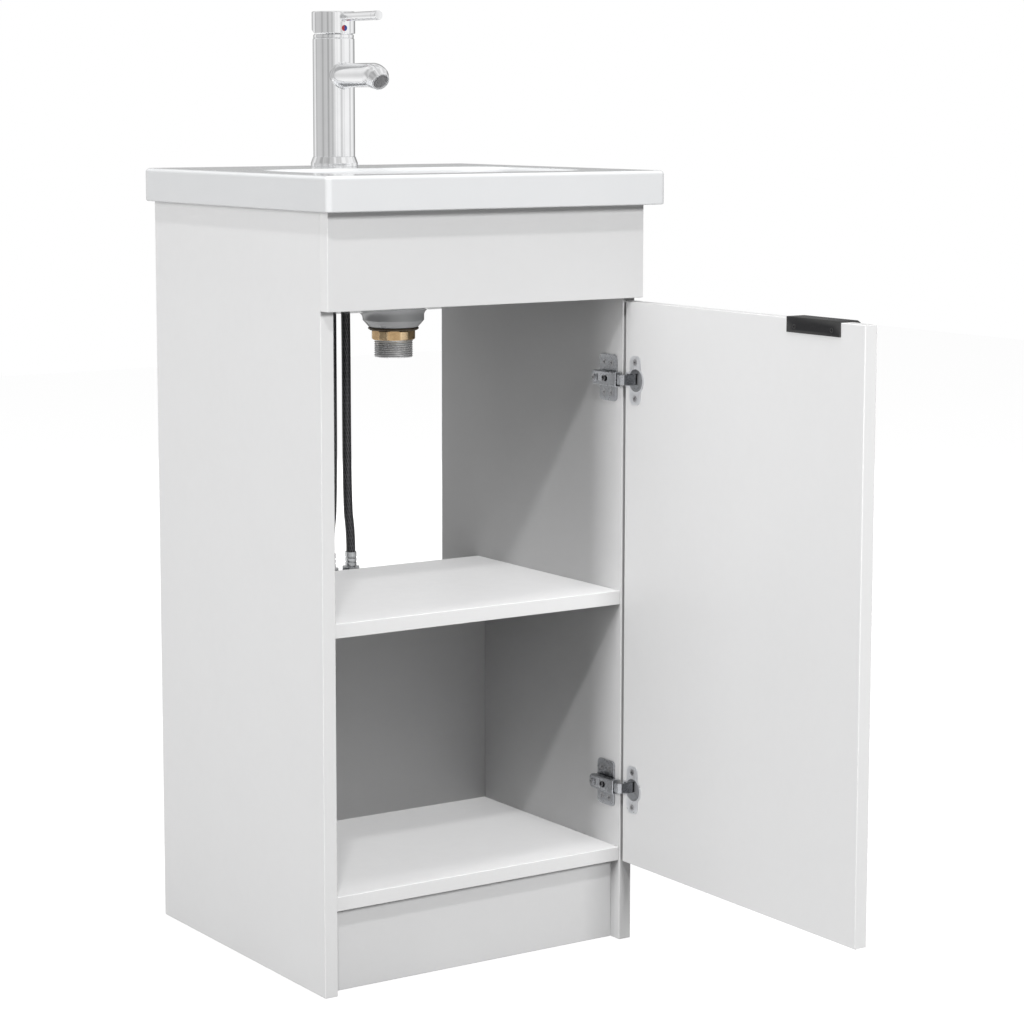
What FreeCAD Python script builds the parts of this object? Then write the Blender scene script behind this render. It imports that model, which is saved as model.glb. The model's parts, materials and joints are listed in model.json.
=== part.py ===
import FreeCAD, Part
import math
import os
import Sketcher

# A slim floor-standing bathroom vanity: a white board cabinet with one hinged door, a ceramic
# basin slab on top, a single-lever mixer tap with its two supply hoses, and the basin waste.
# Millimetres, +Z up, front towards -Y. The origin is on the floor at the centre of the cabinet's
# footprint. The model is at rest with the door swung 90 degrees open.

doc = FreeCAD.newDocument("vanity_cabinet")

# ---------------------------------------------------------------- driving dimensions

SIZES = [
    # cabinet boards
    ("width", 385), ("depth", 358), ("height", 800), ("board", 15),
    ("fascia_height", 98.5), ("plinth_height", 88.5), ("plinth_setback", 16),
    ("shelf_setback", 2), ("shelf_depth", 278), ("middle_shelf_top", 386),
    ("rail_height", 80), ("rail_drop", 15), ("rail_hole_radius", 3), ("rail_hole_spacing", 240),
    # board fixings
    ("dowel_radius", 4), ("dowel_length", 30), ("dowel_in_panel", 10),
    ("cam_radius", 7.5), ("cam_height", 12), ("cam_inset", 24),
    ("cam_bolt_radius", 3), ("cam_bolt_in_panel", 11),
    # basin
    ("slab_width", 410), ("slab_depth", 395), ("slab_height", 35.5), ("slab_round", 4),
    ("deck_thickness", 14), ("recess_width", 344), ("recess_depth", 330),
    ("bowl_half_width", 150), ("bowl_front", -165), ("bowl_rear", 40), ("bowl_wall", 10),
    ("bowl_taper", 22), ("bowl_rear_taper", 10), ("bowl_corner", 46), ("bowl_floor_round", 24),
    ("bowl_slope", 6), ("bowl_floor", 11.5), ("rim_round", 5),
    # waste and the boss it passes through
    ("waste_y", -3), ("waste_seat_depth", 144.2), ("waste_seat_sink", 3.5),
    ("waste_seat_radius", 33), ("boss_radius", 33.2), ("boss_length", 25.3),
    ("boss_chamfer", 8), ("waste_hole_radius", 22.2),
    ("waste_flange_radius", 31.5), ("waste_flange_height", 2.5), ("tail_radius", 20.95),
    ("tail_core_radius", 20.6), ("tail_bore_radius", 17.5), ("tail_below_boss", 32), ("seal_height", 4.3),
    ("seal_radius", 27.4), ("nut_height", 9), ("nut_across_flats", 46),
    ("plug_radius", 29), ("plug_height", 5), ("stem_radius", 5), ("stem_length", 32),
    # tap
    ("tap_y", 120.6), ("tap_hole_radius", 17.5), ("tap_radius", 23), ("tap_height", 140.5),
    ("tap_base_radius", 26), ("tap_base_height", 11), ("shank_radius", 15.5),
    ("shank_length", 13), ("spout_height", 99.8), ("spout_radius", 13), ("spout_reach", 88),
    ("spout_tip", 13.8), ("spout_tip_radius", 10.2), ("spout_droop", 33),
    ("aerator_radius", 9.4), ("mesh_radius", 8.8), ("cartridge_radius", 17),
    ("cartridge_height", 28), ("collar_radius", 21), ("collar_height", 4.2), ("cap_gap", 0.5), ("cap_radius", 23.85), ("cap_height", 24.3),
    ("cap_cavity_radius", 20.5), ("cap_cavity_height", 11.4), ("cap_bevel", 23),
    ("lever_pivot_height", 3), ("lever_pin_radius", 2), ("rotor_radius", 12),
    ("rotor_neck_radius", 8.8), ("rotor_neck_length", 12),
    ("lever_radius", 4.85), ("lever_reach", 96), ("lever_height", 17.9),
    ("index_radius", 3.3), ("index_height", 5.9),
    # supply hoses
    ("hose_radius", 5.1), ("ferrule_radius", 6.4), ("ferrule_length", 22),
    ("hose_nut_bore", 7.5), ("hose_nut_flats", 19), ("hose_nut_length", 15),
    # door
    ("door_width", 382), ("door_top_gap", 4), ("door_side_gap", 1.5), ("door_face_gap", 2.5),
    ("handle_length", 80), ("handle_inset", 35), ("handle_hook", 14), ("handle_metal", 1.5),
    ("handle_lip", 9.7),
    # concealed hinges
    ("hinge_inset", 83), ("pivot_edge", 5.75), ("pivot_depth", 6.55), ("cup_radius", 13),
    ("cup_edge", 19), ("cup_depth", 11), ("cup_wall", 1), ("pocket_edge", 2.3),
    ("pocket_height", 14), ("plate_height", 52), ("plate_width", 19), ("plate_metal", 1),
    ("cup_screw_spacing", 38.5), ("base_height", 50), ("base_width", 30), ("base_front", 9),
    ("base_metal", 2.2), ("base_block", 6.5), ("base_round", 5), ("flange_round", 7),
    ("arm_length", 42), ("arm_height", 15.5), ("arm_stand", 11), ("arm_metal", 1.2),
    ("arm_round", 5.5), ("arm_edge_round", 1), ("link_height", 10.5), ("link_metal", 2),
    ("knuckle_radius", 2.1), ("hinge_pin_radius", 1.1), ("running_clearance", 0.05),
    ("screw_radius", 1.75), ("screw_head_radius", 3.4), ("screw_length", 13),
    ("recess_width_small", 0.9), ("recess_sink", 1),
]

dim = doc.addObject("Spreadsheet::Sheet", "dim")
for row, (alias, number) in enumerate(SIZES, start=1):
    dim.set(f"A{row}", alias)
    dim.set(f"B{row}", str(number))
    dim.setAlias(f"B{row}", alias)
doc.recompute()


def value(expression):
    """The number that an expression over the sheet's sizes gives."""
    return float(dim.evalExpression(expression.replace("dim.", "")))


# Planes that several pieces share, as expressions over the sheet.
LEFT, RIGHT = "-dim.width / 2", "dim.width / 2"
FRONT, BACK = "-dim.depth / 2", "dim.depth / 2"
INNER_LEFT = "(-dim.width / 2 + dim.board)"
INNER_RIGHT = "(dim.width / 2 - dim.board)"
INNER_WIDTH = "(dim.width - 2 * dim.board)"
DECK = "(dim.height + dim.slab_height)"
WASTE_SEAT = f"({DECK} - dim.waste_seat_depth)"
BOSS_BOTTOM = f"({WASTE_SEAT} - dim.boss_length)"
CAP_BASE = f"({DECK} + dim.tap_height + dim.collar_height + dim.cap_gap)"
PIVOT_X = "(dim.width / 2 - dim.door_side_gap - dim.pivot_edge)"
PIVOT_Y = "(-dim.depth / 2 - dim.door_face_gap - dim.pivot_depth)"
DOOR_FACE = f"({PIVOT_X} - dim.pivot_depth)"
DOOR_EDGE = f"({PIVOT_Y} + dim.pivot_edge)"
DOOR_TOP = "(dim.height - dim.fascia_height - dim.door_top_gap)"
DOOR_HEIGHT = f"({DOOR_TOP} - dim.plinth_height)"
HINGE_LEVELS = {
    "upper": f"({DOOR_TOP} - dim.hinge_inset)",
    "lower": "(dim.plinth_height + dim.hinge_inset)",
}
SHELF_REAR = f"({FRONT} + dim.shelf_setback + dim.shelf_depth)"

AXIS_TURNS = {
    "Z": FreeCAD.Rotation(),
    "-Z": FreeCAD.Rotation(FreeCAD.Vector(1, 0, 0), 180),
    "X": FreeCAD.Rotation(FreeCAD.Vector(0, 1, 0), 90),
    "-X": FreeCAD.Rotation(FreeCAD.Vector(0, 1, 0), -90),
    "Y": FreeCAD.Rotation(FreeCAD.Vector(1, 0, 0), -90),
    "-Y": FreeCAD.Rotation(FreeCAD.Vector(1, 0, 0), 90),
}

nodes = {}


# ---------------------------------------------------------------- building blocks

def bind(feature, **expressions):
    for prop, expression in expressions.items():
        feature.setExpression(prop, expression)
    return feature


def put(feature, x, y, z, turn=None):
    """Binds a feature's place to the sheet, turned first if a turn is given."""
    if turn is not None:
        feature.Placement = FreeCAD.Placement(FreeCAD.Vector(), turn)
    for axis, expression in zip("xyz", (x, y, z)):
        feature.setExpression(f"Placement.Base.{axis}", expression)
    return feature


def block(name, x, y, z):
    """A box: x, y and z are each a pair (lowest coordinate, size)."""
    feature = doc.addObject("Part::Box", name)
    bind(feature, Length=x[1], Width=y[1], Height=z[1])
    return put(feature, x[0], y[0], z[0])


def cylinder(name, radius, length, x, y, z, axis="Z"):
    """A cylinder that starts at a point and runs along a named axis or a turn of its own."""
    feature = doc.addObject("Part::Cylinder", name)
    bind(feature, Radius=radius, Height=length)
    return put(feature, x, y, z, AXIS_TURNS[axis] if isinstance(axis, str) else axis)


def cone(name, radius, end_radius, length, x, y, z, axis="Z"):
    feature = doc.addObject("Part::Cone", name)
    bind(feature, Radius1=radius, Radius2=end_radius, Height=length)
    return put(feature, x, y, z, AXIS_TURNS[axis])


def common(name, *parts):
    feature = doc.addObject("Part::MultiCommon", name)
    feature.Shapes = list(parts)
    return feature


def fuse(name, *parts):
    feature = doc.addObject("Part::MultiFuse", name)
    feature.Shapes = list(parts)
    return feature


def group(name, parts):
    """Separate solids that share one node."""
    feature = doc.addObject("Part::Compound", name)
    feature.Links = list(parts)
    return feature


def cut(name, base, *tools):
    feature = doc.addObject("Part::Cut", name)
    feature.Base = base
    feature.Tool = tools[0] if len(tools) == 1 else group(f"{name}_tools", tools)
    return feature


def rounded(name, base, radius, chosen):
    """Rounds the edges of base that the function chosen picks."""
    doc.recompute()
    feature = doc.addObject("Part::Fillet", name)
    feature.Base = base
    size = value(radius)
    edges = [i for i, edge in enumerate(base.Shape.Edges, start=1) if chosen(edge)]
    feature.Edges = [(i, size, size) for i in edges]
    return feature


def outline_sketch(body, plane, points):
    """A closed sketch on one of the body's origin planes, each corner bound to the sheet."""
    sketch = body.newObject("Sketcher::SketchObject", f"{body.Name}_outline")
    origin = [f for f in body.Origin.OriginFeatures if f.Role == plane][0]
    sketch.AttachmentSupport = [(origin, "")]
    sketch.MapMode = "FlatFace"
    corners = [FreeCAD.Vector(value(a), value(b), 0) for a, b in points]
    for start, end in zip(corners, corners[1:] + corners[:1]):
        sketch.addGeometry(Part.LineSegment(start, end))
    count = len(corners)
    for i in range(count):
        sketch.addConstraint(Sketcher.Constraint("Coincident", i, 2, (i + 1) % count, 1))
    for i, (corner, point) in enumerate(zip(corners, points)):
        for kind, axis, place, expression in (
            ("DistanceX", -2, corner.x, point[0]),
            ("DistanceY", -1, corner.y, point[1]),
        ):
            if abs(place) < 1e-9:
                sketch.addConstraint(Sketcher.Constraint("PointOnObject", i, 1, axis))
                continue
            index = sketch.addConstraint(Sketcher.Constraint(kind, -1, 1, i, 1, place))
            sketch.renameConstraint(index, f"{kind}_{i}")
            sketch.setExpression(f"Constraints.{kind}_{i}", expression)
    return sketch


def turned(name, points, x, y, z, turn=None):
    """A body of revolution about its own Z: points are (radius, height) pairs."""
    body = doc.addObject("PartDesign::Body", name)
    sketch = outline_sketch(body, "XZ_Plane", points)
    feature = body.newObject("PartDesign::Revolution", f"{name}_turn")
    feature.Profile = sketch
    feature.ReferenceAxis = (sketch, ["V_Axis"])
    feature.Angle = 360
    return put(body, x, y, z, turn)


def extruded(name, plane, points, length, x, y, z):
    """A body padded from an outline on one of its origin planes."""
    body = doc.addObject("PartDesign::Body", name)
    sketch = outline_sketch(body, plane, points)
    feature = body.newObject("PartDesign::Pad", f"{name}_pad")
    feature.Profile = sketch
    feature.setExpression("Length", length)
    return put(body, x, y, z)


def hexagon(name, flats, length, x, y, z):
    feature = doc.addObject("Part::Prism", name)
    feature.Polygon = 6
    bind(feature, Circumradius=f"{flats} / sqrt(3)", Height=length)
    return put(feature, x, y, z)


def node(name, feature):
    """Names a finished sub-part, whose label is also its file's name."""
    feature.Label = name
    nodes[name] = feature
    return feature


# ---------------------------------------------------------------- board fixings

def make_fixings():
    """Dowels, cam bolts and cam locks that join each cross board to both side panels."""
    dowels, bolts, locks = [], [], []
    shelf_levels = ("dim.middle_shelf_top", "(dim.plinth_height + dim.board)")
    # (y, z) of each dowel in the ends of the cross boards
    dowel_places = []
    for top in shelf_levels:
        for inset in ("35", "dim.shelf_depth - 35"):
            dowel_places.append((f"{FRONT} + dim.shelf_setback + {inset}", f"{top} - dim.board / 2"))
    plinth_y = f"{FRONT} + dim.plinth_setback + dim.board / 2"
    back_y = f"{SHELF_REAR} - dim.board / 2"
    rail_y = f"{BACK} - dim.board / 2"
    rail_z = "dim.height - dim.rail_drop - dim.rail_height"
    for z in ("20", "dim.plinth_height - 20"):
        dowel_places.append((plinth_y, z))
    for z in ("dim.plinth_height + dim.board + 40", "dim.middle_shelf_top - dim.board - 40"):
        dowel_places.append((back_y, z))
    for z in (f"{rail_z} + 20", f"{rail_z} + dim.rail_height - 20"):
        dowel_places.append((rail_y, z))
    for side, inner, axis, sign in (("left", INNER_LEFT, "X", "-"), ("right", INNER_RIGHT, "-X", "+")):
        for i, (y, z) in enumerate(dowel_places):
            start = f"{inner} {sign} dim.dowel_in_panel"
            dowels.append(cylinder(f"dowel_{side}_{i}", "dim.dowel_radius", "dim.dowel_length",
                                   start, y, z, axis))
        for i, z in enumerate(("dim.height - 25", "dim.height - dim.fascia_height + 25")):
            x = f"{inner} {sign} dim.board / 2"
            start = f"{FRONT} - dim.dowel_in_panel"
            dowels.append(cylinder(f"dowel_fascia_{side}_{i}", "dim.dowel_radius",
                                   "dim.dowel_length", x, start, z, "Y"))
        inward = "+" if sign == "-" else "-"
        for level, top in enumerate(shelf_levels):
            for i, inset in enumerate(("70", "dim.shelf_depth - 70")):
                y = f"{FRONT} + dim.shelf_setback + {inset}"
                z = f"{top} - dim.board / 2"
                cam_x = f"{inner} {inward} dim.cam_inset"
                bolt = cylinder(f"bolt_{side}_{level}_{i}", "dim.cam_bolt_radius",
                                "dim.cam_bolt_in_panel + dim.cam_inset",
                                f"{inner} {sign} dim.cam_bolt_in_panel", y, z, axis)
                disc = cylinder(f"cam_{side}_{level}_{i}", "dim.cam_radius", "dim.cam_height",
                                cam_x, y, f"{top} - dim.board")
                bolts.append(bolt)
                locks.append(cut(f"cam_lock_{side}_{level}_{i}", disc, bolt))
    node("wood_dowels", group("wood_dowels", dowels))
    node("cam_bolts", group("cam_bolts", bolts))
    node("cam_locks", group("cam_locks", locks))


# ---------------------------------------------------------------- cabinet boards

def make_boards(hinge_holes):
    fixings = [nodes["wood_dowels"], nodes["cam_bolts"], nodes["cam_locks"]]
    across = (INNER_LEFT, INNER_WIDTH)
    boards = {
        "left_side_panel": ((LEFT, "dim.board"), (FRONT, "dim.depth"), ("0", "dim.height")),
        "front_fascia": ((LEFT, "dim.width"), (f"{FRONT} - dim.board", "dim.board"),
                         ("dim.height - dim.fascia_height", "dim.fascia_height")),
        "middle_shelf": (across, (f"{FRONT} + dim.shelf_setback", "dim.shelf_depth"),
                         ("dim.middle_shelf_top - dim.board", "dim.board")),
        "bottom_shelf": (across, (f"{FRONT} + dim.shelf_setback", "dim.shelf_depth"),
                         ("dim.plinth_height", "dim.board")),
        "plinth_board": (across, (f"{FRONT} + dim.plinth_setback", "dim.board"),
                         ("0", "dim.plinth_height")),
        "lower_back_panel": (across, (f"{SHELF_REAR} - dim.board", "dim.board"),
                             ("dim.plinth_height + dim.board",
                              "dim.middle_shelf_top - 2 * dim.board - dim.plinth_height")),
    }
    for name, spans in boards.items():
        node(name, cut(name, block(f"{name}_blank", *spans), *fixings))

    side = block("right_side_blank", (INNER_RIGHT, "dim.board"), (FRONT, "dim.depth"),
                 ("0", "dim.height"))
    node("right_side_panel", cut("right_side_panel", side, *fixings, *hinge_holes))

    rail_z = "dim.height - dim.rail_drop - dim.rail_height"
    rail = block("rail_blank", across, (f"{BACK} - dim.board", "dim.board"),
                 (rail_z, "dim.rail_height"))
    holes = [
        cylinder(f"rail_hole_{i}", "dim.rail_hole_radius", "dim.board + 2",
                 f"{sign}dim.rail_hole_spacing / 2", f"{BACK} - dim.board - 1",
                 f"{rail_z} + dim.rail_height / 2", "Y")
        for i, sign in enumerate(("-", ""))
    ]
    node("rear_top_rail", cut("rear_top_rail", rail, *fixings, *holes))


# ---------------------------------------------------------------- basin and waste

def tub(name, wall, floor, top):
    """The bowl's form, grown outwards by wall and downwards by floor, up to the level top."""
    slope = "tan(dim.bowl_slope * 1 deg)"
    flat = f"({WASTE_SEAT} + dim.waste_seat_sink - ({floor}))"
    front, rear = f"(dim.bowl_front - ({wall}))", f"(dim.bowl_rear + ({wall}))"
    front_foot, rear_foot = f"({front} + dim.bowl_taper)", f"({rear} - dim.bowl_rear_taper)"
    half = f"(dim.bowl_half_width + ({wall}))"
    along = extruded(f"{name}_along", "YZ_Plane", [
        (front, top), (front_foot, f"{flat} - ({front_foot} - dim.waste_y) * {slope}"),
        (rear_foot, f"{flat} - ({rear_foot} - dim.waste_y) * {slope}"), (rear, top),
    ], f"2 * {half}", f"-{half}", "0", "0")
    across = extruded(f"{name}_across", "XZ_Plane", [
        (f"-{half}", top), (f"-{half} + dim.bowl_taper", f"{flat} - 15"),
        (f"{half} - dim.bowl_taper", f"{flat} - 15"), (half, top),
    ], f"{rear} - {front}", "0", rear, "0")
    form = common(f"{name}_form", along, across)
    middle = value(flat) + 40
    corners = rounded(f"{name}_corners", form, f"dim.bowl_corner + ({wall})",
                      lambda edge: edge.BoundBox.ZMin < middle < edge.BoundBox.ZMax)
    return rounded(f"{name}_rounded", corners, f"dim.bowl_floor_round + ({wall})",
                   lambda edge: edge.BoundBox.ZMax < middle)


def make_basin():
    slab = block("slab_blank", ("-dim.slab_width / 2", "dim.slab_width"),
                 (f"{BACK} - dim.slab_depth", "dim.slab_depth"), ("dim.height", "dim.slab_height"))
    under_level, deck_level = value("dim.height"), value(DECK)
    slab = rounded("slab", slab, "dim.slab_round",
                   lambda edge: edge.BoundBox.ZMax > under_level + 1)
    recess = block("slab_recess", ("-dim.recess_width / 2", "dim.recess_width"),
                   ("-dim.recess_depth / 2", "dim.recess_depth"),
                   ("dim.height - 1", "dim.slab_height - dim.deck_thickness + 1"))
    outside = tub("bowl_outside", "dim.bowl_wall", "dim.bowl_floor",
                  f"({DECK} - dim.deck_thickness / 2)")
    hollow = tub("bowl_inside", "0", "0", f"({DECK} + 1)")
    boss = turned("basin_boss", [
        ("0", "0"), ("dim.boss_radius - dim.boss_chamfer + 0.8", "0"),
        ("dim.boss_radius", "dim.boss_chamfer"), ("dim.boss_radius", "dim.boss_length - 1"),
        ("0", "dim.boss_length - 1"),
    ], "0", "dim.waste_y", BOSS_BOTTOM)
    seat = cylinder("waste_seat", "dim.waste_seat_radius", "20", "0", "dim.waste_y", WASTE_SEAT)
    waste_hole = cylinder("waste_hole", "dim.waste_hole_radius", "60",
                          "0", "dim.waste_y", f"{BOSS_BOTTOM} - 5")
    tap_hole = cylinder("tap_hole", "dim.tap_hole_radius", "dim.slab_height",
                        "0", "dim.tap_y", "dim.height + 1")
    shell = fuse("basin_shell", cut("slab_shell", slab, recess), outside, boss)
    opened = cut("basin_opened", shell, hollow, seat, waste_hole, tap_hole)
    rim_half = value("dim.bowl_half_width") + 1
    rim_front, rim_rear = value("dim.bowl_front") - 1, value("dim.bowl_rear") + 1

    def on_rim(edge):
        box = edge.BoundBox
        across = -rim_half < box.XMin and box.XMax < rim_half
        along = rim_front < box.YMin and box.YMax < rim_rear
        return across and along and box.ZMin > deck_level - 0.01

    node("basin", rounded("basin", opened, "dim.rim_round", on_rim))


def make_waste():
    flange_top = f"({WASTE_SEAT} + dim.waste_flange_height)"
    tail_length = "(dim.boss_length + dim.tail_below_boss)"
    free_length = "(dim.tail_below_boss - dim.seal_height - dim.nut_height)"
    sleeve = turned("waste_sleeve", [
        ("dim.tail_bore_radius", "0"), ("dim.tail_radius", "0"),
        ("dim.tail_radius", free_length), ("dim.tail_core_radius", free_length),
        ("dim.tail_core_radius", tail_length), ("dim.waste_flange_radius", tail_length),
        ("dim.waste_flange_radius", f"{tail_length} + 1"),
        ("dim.waste_flange_radius - 3", f"{tail_length} + dim.waste_flange_height"),
        ("dim.tail_bore_radius", f"{tail_length} + dim.waste_flange_height"),
    ], "0", "dim.waste_y", f"{BOSS_BOTTOM} - dim.tail_below_boss")
    guide_z = f"{flange_top} - dim.stem_length - 3"
    ribs = [
        block("guide_rib_x", ("-dim.tail_bore_radius - 1", "2 * dim.tail_bore_radius + 2"),
              ("dim.waste_y - 1.25", "2.5"), (guide_z, "6")),
        block("guide_rib_y", ("-1.25", "2.5"),
              ("dim.waste_y - dim.tail_bore_radius - 1", "2 * dim.tail_bore_radius + 2"),
              (guide_z, "6")),
        cylinder("guide_ring", "dim.stem_radius + 2.5", "10", "0", "dim.waste_y", guide_z),
    ]
    bore = cylinder("guide_bore", "dim.stem_radius + dim.running_clearance", "20",
                    "0", "dim.waste_y", f"{guide_z} - 5")
    node("waste_body", cut("waste_body", fuse("waste_parts", sleeve, *ribs), bore))

    node("waste_plug", turned("waste_plug", [
        ("0", "0"), ("dim.stem_radius", "0"), ("dim.stem_radius", "dim.stem_length"),
        ("dim.plug_radius", "dim.stem_length"), ("dim.plug_radius", "dim.stem_length + 2"),
        ("dim.plug_radius - 5", "dim.stem_length + dim.plug_height - 0.6"),
        ("0", "dim.stem_length + dim.plug_height"),
    ], "0", "dim.waste_y", f"{flange_top} - dim.stem_length"))

    node("waste_seal", turned("waste_seal", [
        ("dim.tail_core_radius", "0"), ("dim.seal_radius - 1", "0"),
        ("dim.seal_radius", "dim.seal_height / 2"),
        ("dim.seal_radius - 1", "dim.seal_height"),
        ("dim.tail_core_radius", "dim.seal_height"),
    ], "0", "dim.waste_y", f"{BOSS_BOTTOM} - dim.seal_height"))

    nut_z = f"{BOSS_BOTTOM} - dim.seal_height - dim.nut_height"
    flats = hexagon("nut_flats", "dim.nut_across_flats", "dim.nut_height", "0", "dim.waste_y", nut_z)
    turned_blank = cylinder("nut_round", "dim.nut_across_flats / 2 + 1.2", "dim.nut_height",
                            "0", "dim.waste_y", nut_z)
    trimmed = common("nut_trimmed", flats, turned_blank)
    nut_bore = cylinder("nut_bore", "dim.tail_core_radius", "dim.nut_height + 2",
                        "0", "dim.waste_y", f"{nut_z} - 1")
    node("waste_locknut", cut("waste_locknut", trimmed, nut_bore))


# ---------------------------------------------------------------- mixer tap

def make_tap_body():
    tap = ("0", "dim.tap_y", DECK)
    node("tap_base_ring", turned("tap_base_ring", [
        ("dim.tap_radius - 3", "0"), ("dim.tap_base_radius", "0"), ("dim.tap_base_radius", "4"),
        ("dim.tap_radius + 0.4", "dim.tap_base_height"), ("dim.tap_radius - 3", "dim.tap_base_height"),
    ], *tap))
    column = turned("tap_column", [
        ("0", "-dim.shank_length"), ("dim.shank_radius", "-dim.shank_length"),
        ("dim.shank_radius", "0"), ("dim.tap_radius - 3", "0"),
        ("dim.tap_radius - 3", "dim.tap_base_height"), ("dim.tap_radius", "dim.tap_base_height"),
        ("dim.tap_radius", "dim.tap_height - 2"), ("dim.tap_radius - 2", "dim.tap_height"),
        ("0", "dim.tap_height"),
    ], *tap)
    neck = cylinder("spout_neck", "dim.spout_radius", "dim.spout_reach",
                    "0", "dim.tap_y", f"{DECK} + dim.spout_height", "-Y")
    elbow = doc.addObject("Part::Sphere", "spout_elbow")
    bind(elbow, Radius="dim.spout_radius")
    put(elbow, "0", "dim.tap_y - dim.spout_reach", f"{DECK} + dim.spout_height")
    droop = FreeCAD.Rotation(FreeCAD.Vector(1, 0, 0), 90 + value("dim.spout_droop"))
    tip = turned("spout_tip", [
        ("0", "0"), ("dim.spout_radius", "0"), ("dim.spout_radius", "5"),
        ("dim.spout_tip_radius", "dim.spout_tip"), ("0", "dim.spout_tip"),
    ], "0", tip_point("0", "y"), tip_point("0", "z"), droop)
    casting = fuse("tap_casting", column, neck, elbow, tip)
    inside = ("0", tip_point("dim.spout_tip - 6", "y"), tip_point("dim.spout_tip - 6", "z"))
    socket = cylinder("aerator_socket", "dim.aerator_radius", "8", *inside, droop)
    cartridge = cylinder("cartridge_case", "dim.cartridge_radius", "dim.cartridge_height",
                         "0", "dim.tap_y", f"{DECK} + dim.tap_height - dim.cartridge_height")
    node("tap_body", cut("tap_body", casting, socket, cartridge, nodes["fixing_stud"]))
    node("aerator_ring", turned("aerator_ring", [
        ("dim.mesh_radius", "0"), ("dim.aerator_radius", "0"), ("dim.aerator_radius", "6.6"),
        ("dim.mesh_radius", "6.6"),
    ], *inside, droop))
    node("aerator_mesh", cylinder("aerator_mesh", "dim.mesh_radius", "5.2", *inside, droop))
    stem_bore = cylinder("cartridge_bore", "dim.rotor_neck_radius + dim.running_clearance", "60",
                         "0", "dim.tap_y", f"{CAP_BASE} - dim.rotor_neck_length - 1")
    node("tap_cartridge", cut("tap_cartridge", cartridge, stem_bore))
    node("cartridge_nut", turned("cartridge_nut", [
        ("dim.rotor_neck_radius + 0.5", "0"), ("dim.collar_radius", "0"),
        ("dim.collar_radius", "dim.collar_height - 0.6"),
        ("dim.collar_radius - 0.6", "dim.collar_height"),
        ("dim.rotor_neck_radius + 0.5", "dim.collar_height"),
    ], "0", "dim.tap_y", f"{DECK} + dim.tap_height"))


def tip_point(distance, axis):
    """A point on the drooping spout tip's centre line, as an expression."""
    if axis == "y":
        return f"dim.tap_y - dim.spout_reach - ({distance}) * cos(dim.spout_droop * 1 deg)"
    return f"{DECK} + dim.spout_height - ({distance}) * sin(dim.spout_droop * 1 deg)"


def make_lever():
    pivot_z = f"{CAP_BASE} + dim.lever_pivot_height"
    rotor = turned("lever_rotor_blank", [
        ("0", "-dim.rotor_neck_length"), ("dim.rotor_neck_radius", "-dim.rotor_neck_length"),
        ("dim.rotor_neck_radius", "0.5"), ("dim.rotor_radius", "0.5"),
        ("dim.rotor_radius", "5.2"), ("0", "5.2"),
    ], "0", "dim.tap_y", CAP_BASE)
    pin = cylinder("lever_pivot_pin", "dim.lever_pin_radius", "2 * dim.cap_cavity_radius + 2",
                   "-dim.cap_cavity_radius - 1", "dim.tap_y", pivot_z, "X")
    node("lever_rotor", cut("lever_rotor", rotor, pin))
    node("lever_pivot_pin", pin)

    blank = turned("lever_cap_blank", [
        ("0", "0"), ("dim.cap_radius - 0.8", "0"), ("dim.cap_radius", "0.8"),
        ("dim.cap_radius", "dim.cap_height - 1.5"), ("dim.cap_radius - 1.5", "dim.cap_height"),
        ("0", "dim.cap_height"),
    ], "0", "dim.tap_y", CAP_BASE)
    cavity = cylinder("cap_cavity", "dim.cap_cavity_radius", "dim.cap_cavity_height + 1",
                      "0", "dim.tap_y", f"{CAP_BASE} - 1")
    # the rear of the cap's lower edge slopes up, so that the cap can tip back
    bevel = doc.addObject("Part::Box", "cap_bevel")
    bind(bevel, Length="2 * dim.cap_radius + 2", Width="40", Height="30")
    put(bevel, "-dim.cap_radius - 1", "dim.tap_y + 1 + 30 * sin(dim.cap_bevel * 1 deg)",
        f"{CAP_BASE} - 30 * cos(dim.cap_bevel * 1 deg)",
        FreeCAD.Rotation(FreeCAD.Vector(1, 0, 0), value("dim.cap_bevel")))
    pin_bore = cylinder("cap_pin_bore", "dim.lever_pin_radius + dim.running_clearance",
                        "2 * dim.cap_cavity_radius + 2.4", "-dim.cap_cavity_radius - 1.2",
                        "dim.tap_y", pivot_z, "X")
    rod_start = "(dim.cap_radius - 8)"
    rod = turned("lever_rod", [
        ("0", "0"), ("dim.lever_radius", "0"),
        ("dim.lever_radius", f"dim.lever_reach - {rod_start} - 9"),
        ("dim.lever_radius + 0.5", f"dim.lever_reach - {rod_start} - 7"),
        ("dim.lever_radius + 0.5", f"dim.lever_reach - {rod_start} - 1"),
        ("dim.lever_radius - 0.5", f"dim.lever_reach - {rod_start}"),
        ("0", f"dim.lever_reach - {rod_start}"),
    ], "0", f"dim.tap_y - {rod_start}", f"{CAP_BASE} + dim.lever_height", AXIS_TURNS["-Y"])
    index = cylinder("index_blank", "dim.index_radius", "2.6", "0",
                     "dim.tap_y - dim.cap_radius + 2.3", f"{CAP_BASE} + dim.index_height", "-Y")
    node("lever_cap", cut("lever_cap", blank, cavity, bevel, pin_bore, rod, index))
    node("lever_rod", rod)
    for name, start in (("index_hot", "-10"), ("index_cold", "0")):
        half = block(f"{name}_half", (start, "10"), ("dim.tap_y - 40", "40"), (CAP_BASE, "20"))
        node(name, common(name, index, half))


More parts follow.
